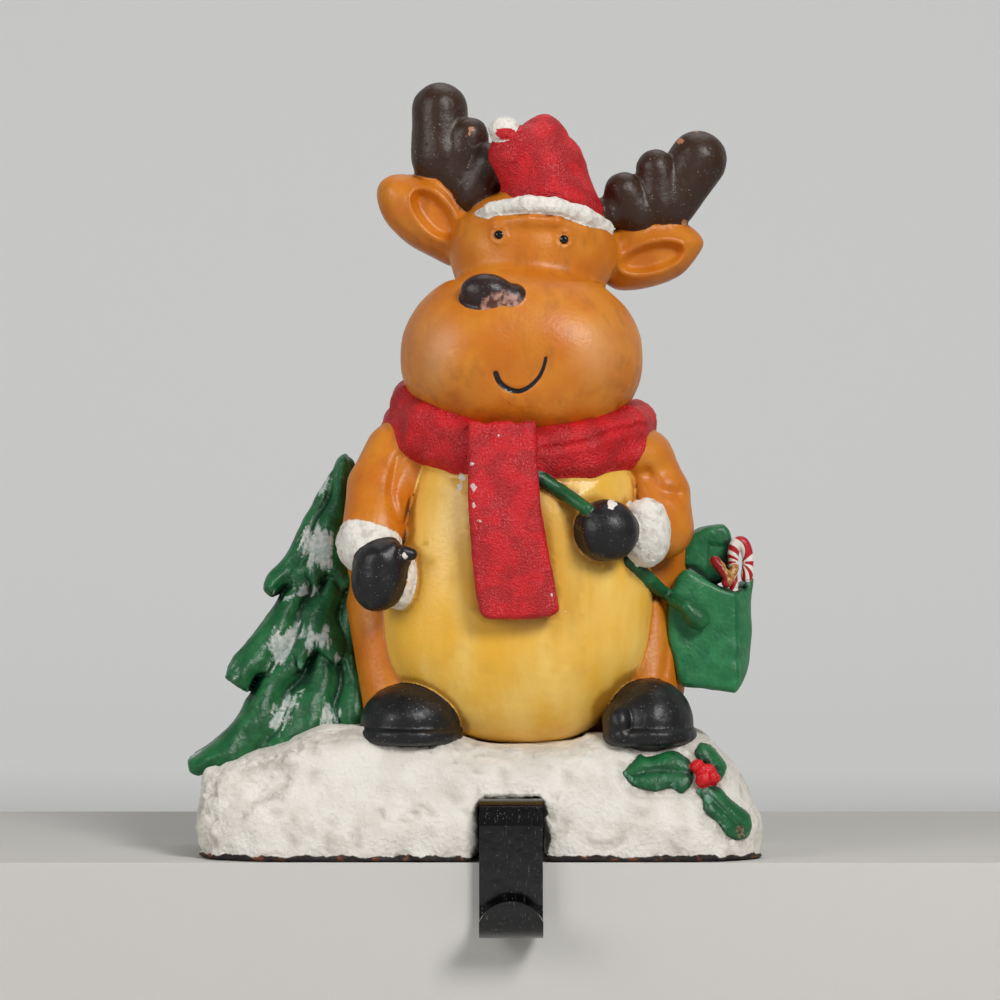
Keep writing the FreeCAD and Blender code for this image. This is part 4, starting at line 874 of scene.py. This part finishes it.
def build_head():
    """The head with its muzzle, ears, antlers and hat."""
    head = Sculpt("reindeer_head", (-36, -33, 99), (57, BACK, 192), 0.5)
    add = head.add
    add("skin", egg((5.5, 5, 146), (20.5, 18, 15.5)), 1)
    add("skin", egg((2.5, -4.5, 123.5), (26, 20.5, 19.5)), 3)
    add("skin", egg((-9.2, -3, 119.4), (15.8, 19.5, 15.8)), 9)
    add("skin", egg((14.4, -3, 118.8), (16, 19.5, 15.8)), 9)
    add("skin", egg((4, -5, 110.4), (17.6, 15.6, 9.2)), 8)
    add("skin", egg((2, 8, 104), (20, 16, 9)), 3)
    jaw = [(-25, 118), (-23.4, 129), (-14, 137), (-11.6, 147), (-6, 158), (5.6, 162.6),
           (17, 158.4), (22.4, 147), (22, 137), (28.4, 128), (30, 117), (22, 106),
           (2.5, 103), (-17, 106)]
    add("skin", slab(jaw, -1, 40, 7), 2)

    # ears
    left_ear = [
        (-33, 160.6), (-31.8, 164.2), (-28, 165.9), (-22.4, 165.7), (-17, 166), (-12, 161), (-7.6, 153.6),
        (-11, 147), (-13.8, 143.6), (-18.6, 145.4), (-26, 149.6), (-31.2, 155),
    ]
    right_ear = [
        (20, 150), (24.4, 151.8), (31.2, 154.6), (38.2, 155.1), (44.4, 153), (47.6, 149.4), (46.2, 145.8),
        (42.2, 141.4), (35.2, 138.5), (28.2, 137.6), (24.4, 138.9), (20, 143),
    ]
    add("skin", relief(left_ear, 13, 22, 6.6, 7), 2)
    add("skin", relief(right_ear, 13, 22, 6.6, 7), 2)
    for centre, radii, lean in (((-18.8, 155.6), (7.4, 3.9), -50), ((34.8, 145), (8, 3.5), 15)):
        cup = egg((centre[0], 0, centre[1]), (radii[0], 40, radii[1]), lean)

        def ear_shape(x, y, z, cup=cup):
            away = cup.distance(x, 0 * y, z)
            floor = -1.9 * ramp(-away, -0.4, 2.2)
            ring = 0.4 * np.exp(-((away - 0.6) / 0.9) ** 2)
            return (floor + ring) * (y < 12)

        head.lift(ear_shape, (centre[0] - 9, 0, centre[1] - 9), (centre[0] + 9, 12, centre[1] + 9))

    # antlers
    lobes = (
        (((-17.5, 13, 181.6), (-17.2, 13, 170), 6.9, 7.2), 1.2),
        (((-17, 13, 170.6), (-9.5, 11, 163.4), 7.1, 5.6), 1.6),
        (((-10.3, 10, 174.8), (-12, 11, 166), 4.9, 6), 1),
        (((-5.4, 8, 167.8), (-8.4, 9, 161.6), 5.2, 5.6), 1.2),
        (((46.2, 13, 169.4), (40.4, 13, 160.6), 7.2, 6.8), 1.2),
        (((35.8, 10, 166.8), (36.6, 11, 158.6), 5, 6), 0.9),
        (((28, 9, 161.2), (31, 10, 156.2), 4.9, 5.2), 0.9),
        (((24.4, 9, 156.4), (40, 12, 157.4), 4, 5), 1.2),
    )
    for lobe, blend in lobes:
        add("antler", bone(*lobe), blend)

    # hat: the band, the slumped crown and the tassel ball at its tip
    hat = [
        (-4.6, 155), (-2.2, 160), (-1.2, 167.4), (-1.4, 171.6), (1.6, 176), (4.8, 178.6), (8.4, 180),
        (11.6, 178), (14.6, 172.4), (18, 165.4), (22.2, 155), (9, 150),
    ]
    crown = chain([(9.4, 6, 157), (8.8, 5, 166.6), (8, 3.6, 172.8)], [12.6, 9.6, 6.4])
    crown_round = egg((9, 6, 160), (19, 15.5, 22))
    add("hat", both(relief(hat, 5, 17, 14.5, 13), crown_round, 2), 0.8)
    add("hat", crown, 1)
    add("hat", bone((8, 4, 161), (0.4, -1, 169.6), 9.4, 5.8), 2)
    add("hat", egg((3, -2.6, 172.4), (4.8, 4.8, 4.2), 25), 1.6)
    add("ball", egg((-1.6, -3.4, 175.2), (3.9, 3.9, 3.4)), 0.4)
    brow = chain(
        [(-8, -3, 151), (-3.2, -9.2, 152.4), (4, -12.2, 153), (11, -11.8, 152.6),
         (17.4, -8, 150.2), (22, 0, 147.4)], [1.2, 1.3, 1.3, 1.3, 1.3, 1.2])
    add("skin", brow, 2.6)
    band = chain(
        [(-8.6, 1, 153.2), (-4.4, -7, 155.6), (4, -12.2, 156.7), (11, -11.8, 156.2),
         (17.6, -8, 154.2), (23, 1, 151.6)], [2, 2.1, 2.1, 2.1, 2.2, 2.2])
    add("band", band, 0.4)

    # nose, eyes and mouth
    nose_place = head.front(-4, 134.6)
    add("nose", egg((-5.4, nose_place + 0.8, 135), (6.6, 4.2, 4.5), -8), 0.7)
    add("nose", egg((0.2, nose_place + 1.2, 133), (4, 3.6, 4.2)), 0.6)
    eyes = ((-2.9, 149.4), (12.8, 148.2))
    for x, z in eyes:
        y = head.front(x, z)

        def lid(u, v, w, x=x, z=z):
            away = np.hypot(u - x, w - z)
            return (0.45 * np.exp(-((away - 1.9) / 0.5) ** 2) - 0.3 * np.exp(-(away / 1) ** 2)) * (v < 6)

        head.lift(lid, (x - 4, y - 4, z - 4), (x + 4, y + 8, z + 4))
        add("skin", egg((x, y - 0.1, z), (1.2, 1.1, 1.2)), 0.2)
    head.marks["eye"] = spots([(x, z, 1.1) for x, z in eyes], 6)
    smile = [(-3.6, 115.6), (-2.6, 113.4), (-0.6, 111.9), (1.8, 111.4), (4.2, 112.3), (6.4, 114.4),
             (7.7, 116.8), (8.3, 119.2)]
    head.groove(smile, 0.5, 0.55, (-7, -32, 108), (12, -10, 122))
    smile_away = stroke(smile)
    head.marks["mouth"] = lambda x, y, z: smile_away(x, z) - 0.57 + 0.022 * (x - 2) + 4 * (y > 0)
    head.marks["nose_wear"] = egg((-2.6, nose_place - 2.4, 132.6), (5, 4, 2.2), 8).distance
    head.marks["nose_rim"] = egg((4.4, nose_place + 1, 130.6), (2.2, 3, 2.6), 30).distance
    # where the painted sheen on the cheeks lies
    head.marks["cheek_left"] = egg((-17.4, -14, 121), (7, 14, 10), -10).distance
    head.marks["cheek_right"] = egg((19.6, -14, 121), (8, 14, 9)).distance
    head.marks["drip"] = lambda x, y, z: 0.8 * (np.hypot(x + 1.2, (z - 174.6) * 1.2) - 2.4) + 3 * (z > 175.4)
    head.marks["chips"] = spots(((-9.6, 176.4, 0.7), (-9.9, 175.2, 0.5), (41.7, 173.8, 0.8),
                                 (42.8, 153.8, 0.7), (45.6, 176.2, 0.5)))
    head.marks["speck"] = spots(((-13.9, 168.4, 0.35),))

    inner = [(-21.8, 123.5), (-18.4, 132), (-10.4, 138.4), (-8.6, 146), (-3.4, 156), (5.5, 159.6),
             (14.6, 156), (19.6, 146), (16, 138.2), (23.6, 131.8), (26.8, 123.5), (22.6, 114.4),
             (17, 110), (16.6, 99), (-11.6, 99), (-12, 110), (-17.6, 114.4)]
    head.hollow(4.6, inner, lambda x: -16)
    head.open_through(NECK)
    head.trim(90, 0.2)

    def texture(x, y, z, shares):
        height = 0.10 * noise(x, y, z, 5, 31)
        height += on(shares, "hat") * 0.15 * noise(x, y, z, 1.3, 32)
        height += on(shares, "band", "ball") * 0.22 * noise(x, y, z, 0.9, 33)
        rough = ramp(x, -9, -4) * ramp(-x, -10, 0)
        horn = 0.12 * noise(x, y, z, 2.4, 34) + rough * 0.4 * noise(x, y, z, 0.9, 35)
        return height + on(shares, "antler") * horn

    def cheek_sheen(paint):
        # painted sheen: paler ochre over the two cheeks, standing in for their highlights
        for name in ("cheek_left", "cheek_right"):
            paint.coat(paint.times(paint.band(paint.attribute(name), 3, -6), 0.42), srgb(222, 170, 120))

    def nose_coat(paint):
        paint.coat(paint.times(paint.area("nose_rim", 0.6, 2, 0.6), 0.6), srgb(232, 178, 108))
        black_coat("nose", 0.12, srgb(44, 28, 26), 0.36)(paint)
        worn = paint.times(paint.area("nose_wear", 2, 2.2, 0.4), paint.area("nose", 0.1))
        paint.coat(worn, paint.blend_of(PINK, srgb(92, 56, 46), 1.8), 0.45)

    def face_coat(paint):
        paint.coat(paint.area("mouth", 0.08, 0.6, 0.07), BLACK, 0.3)
        paint.coat(paint.area("eye", 0.05, 0.6, 0.05), srgb(12, 11, 12), 0.15)

    def chips(paint):
        black_coat("antler", 0.3, BROWN, 0.42)(paint)
        paint.coat(paint.area("chips", 0.5, 0.8), srgb(176, 120, 84), 0.5)
        paint.coat(paint.area("speck", 0.05), WHITE, 0.5)

    def drips(paint):
        white_coat("ball", 0.4)(paint)
        paint.coat(paint.area("drip", 0.7, 1.2), srgb(196, 24, 34), 0.5)

    head.build(0.01, texture, figure_paint("painted_head", SKIN, [
        skin_coat, cheek_sheen, red_coat("hat"), white_coat("band"), drips, chips, nose_coat, face_coat]))


def tier_face(apex, count, depth, top, lean):
    """The Y of a tier of boughs, which leans forward over the tier below.

    Grooves of this depth fan out below its apex, between the boughs.
    """
    def face(x, z):
        turn = np.arctan2(x - apex[0], apex[1] - z)
        down = np.hypot(x - apex[0], z - apex[1])
        wander = 0.25 * np.sin(down * 0.45 + apex[0])
        wave = np.abs(np.sin(turn * count + wander))
        return top - lean * (apex[1] - z) + depth * (1 - wave) * ramp(down, 4, 16)
    return face


def build_tree():
    """The fir on the left, three tiers of boughs with snow brushed on them."""
    tree = Sculpt("fir_tree", (-80, -14, 18), (-33, BACK, 98), 0.45)
    tiers = (
        ([(-41, 97), (-45.2, 91), (-51.6, 79.6), (-54.6, 73), (-59.8, 66.6), (-60.4, 63.4), (-58, 61.8),
          (-55.2, 64.4), (-52.4, 61.8), (-50.2, 66), (-47.6, 62.6), (-45, 66.6), (-41.4, 62.6), (-38.6, 65),
          (-37.6, 76), (-38.6, 88)],
         (5, 8, 10, 12), ((-40, 101), 9, 2.6, 17, 0.34)),
        ([(-50, 72), (-57.6, 60.4), (-63, 53), (-68.4, 46), (-69.6, 42.2), (-66.8, 40.4), (-64, 38.6),
          (-61.6, 42.8), (-57.6, 42), (-54.4, 47.6), (-51.2, 43.6), (-47.6, 48.6), (-43.8, 44.8),
          (-38.4, 47.6), (-37, 62), (-40, 74)],
         (4, 6, 8, 10, 12), ((-41, 82), 8, 3, 14.6, 0.4)),
        ([(-58, 50), (-63.4, 38.8), (-67.6, 31.4), (-74, 25.6), (-78.4, 22.6), (-77.8, 19.6), (-75.6, 18.6),
          (-70.6, 20.4), (-66.6, 20), (-61, 23.6), (-57, 22.8), (-52.6, 26.4), (-48.6, 25.6), (-44.6, 29.6),
          (-40.6, 26.8), (-36, 30.4), (-34, 38), (-38, 50), (-46, 56)],
         (4, 6, 8, 10, 12, 14), ((-42, 62), 7, 3.4, 10, 0.4)),
    )
    for points, corners, face in tiers:
        tree.add("green", relief(points, tier_face(*face), BACK + 8, 4.5, 4.5, corners), 0.3)
    tree.add("green", bone((-41, 18, 94), (-46, 16, 30), 2.4, 8), 1)
    patches = (
        ((-47, 5, 74), (4.6, 9, 6), 20), ((-56, 4, 50), (7, 9, 4), 45),
        ((-47.4, 4, 52), (5, 9, 3.6), 0), ((-67, 6, 44), (2.6, 9, 3), 40),
        ((-55, -2, 34.4), (2.2, 9, 6.4), -32), ((-68.6, 2, 33), (1.5, 9, 5), -24),
        ((-45.6, 8, 90), (1.4, 9, 3.6), -28), ((-44, -2, 33), (3.2, 9, 3), -30),
        ((-75.4, 2, 22.6), (2.6, 9, 2.4), 20), ((-41.6, 5, 47), (2.4, 9, 2.2), 0),
        ((-52, 4, 62.4), (4, 9, 1.4), 10),
    )
    forms = [egg(*patch) for patch in patches]

    def frost(x, y, z):
        """Distance to the brushed patches, with the streaks of a brush drawn down the boughs."""
        low = np.where(z > 62, 101, np.where(z > 43, 82, 62))
        turn = np.arctan2(x + 41, low - z)
        down = np.hypot(x + 41, low - z)
        streaks = noise(turn * 24, down / 7, 0 * z, 0.5, 43)
        streaks = streaks + 0.6 * noise(turn * 60, down / 5, 0 * z, 0.5, 44)
        return np.min([form.distance(x, y, z) for form in forms], axis=0) + 2.4 * streaks

    tree.marks["frost"] = frost
    inner = [(-42.6, 77), (-50, 63.5), (-56.4, 47), (-60.6, 33.5), (-42.4, 33.5)]
    tree.hollow(3, inner, lambda x: 11.5)
    tree.trim(18, 0.3)

    def texture(x, y, z, shares):
        return 0.16 * noise(x, y, z * 0.4, 1.5, 41) + 0.25 * noise(x, y, z, 4, 42)

    def frost_coat(paint):
        wander = paint.maths("MULTIPLY_ADD", paint.grain(0.5, 2), 2, -1)
        raised = paint.maths("MULTIPLY_ADD", paint.attribute("rim"), -1.8, 0.9)
        away = paint.maths("ADD", paint.maths("ADD", paint.attribute("frost"), wander), raised)
        tone = paint.blend_of(FROST, srgb(214, 214, 208), 1.2)
        paint.coat(paint.times(paint.band(away, 0.6, -1.4), 0.85), tone, 0.55)

    coats = [green_coat("green", 0, 0.15), frost_coat]
    tree.build(0.01, texture, figure_paint("painted_fir", GREEN, coats))


def build_satchel():
    """The open bag at the right hip, with a wrapped present and a candy cane in it."""
    bag = Sculpt("gift_satchel", (35, -12, 36), (62, BACK, 82), 0.36)
    body_line = [
        (38, 54), (39.6, 46), (41.2, 41.2), (44, 40.2), (54.4, 38.8), (57.6, 42.8), (58.8, 50), (59, 66.2),
        (54.8, 63.4), (50.4, 64.6), (46, 67), (42.2, 68.4), (39, 63.6),
    ]
    side = beyond((54.8, -6, 50), (0.86, -0.5, 0))
    bag.add("green", both(slab(body_line, -6, 40, 1.6, corners=(4, 7, 8)), side, 0.8), 0.6)
    flap = [(40.6, 66), (42, 71.6), (44.2, 76.4), (47.6, 78.8), (52.2, 79.6), (54, 76.6),
            (54, 66)]
    bag.add("green", slab(flap, 4, 40, 1.6, corners=(4,)), 0.8)
    mouth = [(48, 65.8), (57.2, 63.6), (57.4, 74), (48.2, 75)]
    bag.carve(slab(mouth, -2.4, 4.6, 0.8, corners=range(4)), 0.8)
    bag.carve(slab([(30, 30), (41.4, 30), (41.4, 90), (30, 90)], 1, 60, 0.5), 0.4)
    gift = slab([(48.8, 60), (57, 61.4), (55.8, 70.6), (49, 72)], -3.4, 5, 0.7, corners=range(4))
    bag.add("gift", both(gift, beyond((0, -2, 66), (0.25, -1, 0.1)), 0.6), 0.2)
    bag.add("gift", bone((49.6, -3.2, 70.6), (52.2, -4.2, 67.4), 1.4, 1.4), 0.2)
    bag.add("gift", bone((54.4, -3, 68.8), (52.4, -4.2, 65.4), 1.3, 1.4), 0.2)
    cane_line = [(54.4, 62), (54.2, 72.4), (55, 74.8), (56.4, 75.2), (57.4, 73.4), (57.8, 70.4),
                 (57.2, 66.8)]
    cane = [(x, 0, z) for x, z in smooth_line(cane_line, closed=False, steps=3)]
    bag.add("cane", chain(cane, [1.25] * len(cane)), 0.2)
    bag.lift(lambda x, y, z: 0.5 * noise(x, y, z, 6, 51) * (y < 10), (38, -10, 40), (60, 10, 66))
    bag.marks["stripe"] = lambda x, y, z: np.sin(
        math.pi * (np.arctan2(z - 70, x - 56) * 3.6 + 0.35 * (x - z)) * 0.9)
    bag.marks["ribbon"] = lambda x, y, z: np.abs(x - 51.4 + 0.35 * (z - 66)) - 1.2
    bag.trim(30, 0.2)

    def texture(x, y, z, shares):
        return 0.14 * noise(x, y, z, 2.6, 52) * on(shares, "green")

    def present(paint):
        paint.coat(paint.area("gift", 0.2), paint.blend_of(GOLD, srgb(150, 96, 48), 0.8), 0.35)
        ribbon = paint.times(paint.area("ribbon", 0.5, 0.8), paint.area("gift", 0.1))
        paint.coat(ribbon, srgb(150, 20, 26), 0.35)
        paint.coat(paint.area("cane", 0.15), WHITE, 0.4)
        stripes = paint.times(paint.band(paint.attribute("stripe"), -0.1, 0.1), paint.area("cane", 0.05))
        paint.coat(stripes, srgb(176, 24, 34), 0.4)

    coats = [green_coat("green", 0.1, 0.1, srgb(24, 104, 60), srgb(44, 124, 74)), present]
    bag.build(0.01, texture, figure_paint("painted_satchel", GREEN, coats))


# The hook

def enamel():
    """Gloss black enamel with dust, and pale metal showing in scuffs drawn out up and down."""
    paint = Paint("black_enamel", srgb(8, 8, 9), 0.12)
    dust = paint.band(paint.grain(0.5, 1), 0.7, 0.76)
    paint.coat(paint.times(dust, 0.7), srgb(120, 118, 116), 0.5)
    scuffs = paint.band(paint.grain(0.5, 3, (1, 1, 0.16)), 0.6, 0.72)
    paint.coat(paint.times(scuffs, 0.35), srgb(110, 108, 104), 0.4)
    haze = paint.band(paint.grain(6, 3), 0.4, 0.75)
    paint.roughness = paint.mix(haze, paint.roughness, 0.2, "FLOAT")
    paint.height = paint.bumps(2.2, 2, 0.5)
    paint.give({"Coat Weight": 0.3, "Coat Roughness": 0.06})
    return paint.finish(0.12)


def zinc():
    """Bright zinc plate, a little mottled."""
    paint = Paint("zinc_plate", srgb(170, 172, 174), 0.32)
    paint.colour = paint.blend_of(srgb(160, 162, 166), srgb(190, 190, 188), 0.8)
    paint.height = paint.grain(0.5, 2)
    paint.give({"Metallic": 1})
    return paint.finish(0.03)


def dress(node, material):
    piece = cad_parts[node]
    piece.data.materials.clear()
    piece.data.materials.append(material)


# The room

def pale_floor():
    """Pale grey, lifted a little where the camera or a reflection sees it."""
    paint = Paint("pale_floor", srgb(196, 197, 195), 0.8)
    seen = paint.node("LightPath").outputs
    rays = paint.maths("MAXIMUM", seen["Is Camera Ray"], seen["Is Glossy Ray"])
    rays = paint.maths("MAXIMUM", rays, seen["Is Transmission Ray"])
    rays = paint.times(rays, paint.band(paint.axis("Y"), 300, 1500))
    paint.give({"Emission Color": srgb(214, 215, 213), "Emission Strength": paint.times(rays, 0.6)})
    return paint.finish(0.01, 0.2)


def build_room():
    """A pale floor that curves up behind, the shelf, three soft lamps and the photograph's camera."""
    scene = bpy.context.scene
    radius = 0.5
    deep = 1.6
    drop = -0.07
    steps = 24
    near = -20
    half_width = 12
    profile = [(near, drop), (deep, drop)]
    for i in range(1, steps + 1):
        turn = math.radians(90 * i / steps)
        profile.append((deep + radius * math.sin(turn), drop + radius * (1 - math.cos(turn))))
    profile.append((deep + radius, drop + 4))
    points = [(x, y, z) for x in (-half_width, half_width) for y, z in profile]
    row = len(profile)
    faces = [(i, i + 1, row + i + 1, row + i) for i in range(row - 1)]
    mesh = bpy.data.meshes.new("floor")
    mesh.from_pydata(points, [], faces)
    for face in mesh.polygons:
        face.use_smooth = True
    floor = put("floor", mesh)
    floor.data.materials.append(pale_floor())

    # the shelf, whose edge lies between the mound's front and the leg of the hook
    bpy.ops.mesh.primitive_cube_add(size=1)
    shelf = bpy.context.object
    shelf.name = "shelf"
    edge = (FRONT - 0.4) * MM
    depth = 0.16
    shelf.scale = (0.42, depth, -drop - 0.0002)
    shelf.location = (0, edge + depth / 2, drop / 2 - 0.0001)
    bevel = shelf.modifiers.new("edge", "BEVEL")
    bevel.width = 0.0012
    bevel.segments = 3
    shelf.data.materials.append(Paint("pale_shelf", srgb(206, 203, 198), 0.6).finish(0.01, 0.3))

    lamps = (
        ("key_light", (0.5, -0.85, 0.7), 0.34, 9.2),
        ("fill_light", (-0.85, -0.7, 0.45), 0.5, 4.4),
        ("top_light", (0.1, 0.3, 1.1), 0.7, 2.6),
    )
    aim = np.array((0, 0, 0.09))
    for name, place, size, power in lamps:
        lamp = bpy.data.lights.new(name, "AREA")
        lamp.energy = power
        lamp.size = size
        light = put(name, lamp)
        light.location = place
        to = aim - np.array(place)
        tilt = math.atan2(math.hypot(to[0], to[1]), -to[2])
        light.rotation_euler = (tilt, 0, math.atan2(to[0], -to[1]) + math.pi)

    world = bpy.data.worlds.new("room")
    world.use_nodes = True
    world.node_tree.nodes["Background"].inputs["Color"].default_value = (1, 1, 1, 1)
    world.node_tree.nodes["Background"].inputs["Strength"].default_value = 0.16
    scene.world = world

    sensor = 36
    focal_pixels = 4105
    frame_pixels = 1000
    camera_data = bpy.data.cameras.new("camera")
    camera_data.sensor_width = sensor
    camera_data.lens = sensor * focal_pixels / frame_pixels
    camera_data.clip_end = 20
    camera = put("camera", camera_data)
    camera.location = (-2.6 * MM, -1000 * MM, 85.5 * MM)
    camera.rotation_euler = (math.pi / 2, 0, 0)
    scene.camera = camera
    scene.view_settings.view_transform = "Standard"


build_snow()
build_body()
build_head()
build_tree()
build_satchel()
dress("hook_strap", enamel())
dress("hook_screw", zinc())
build_room()
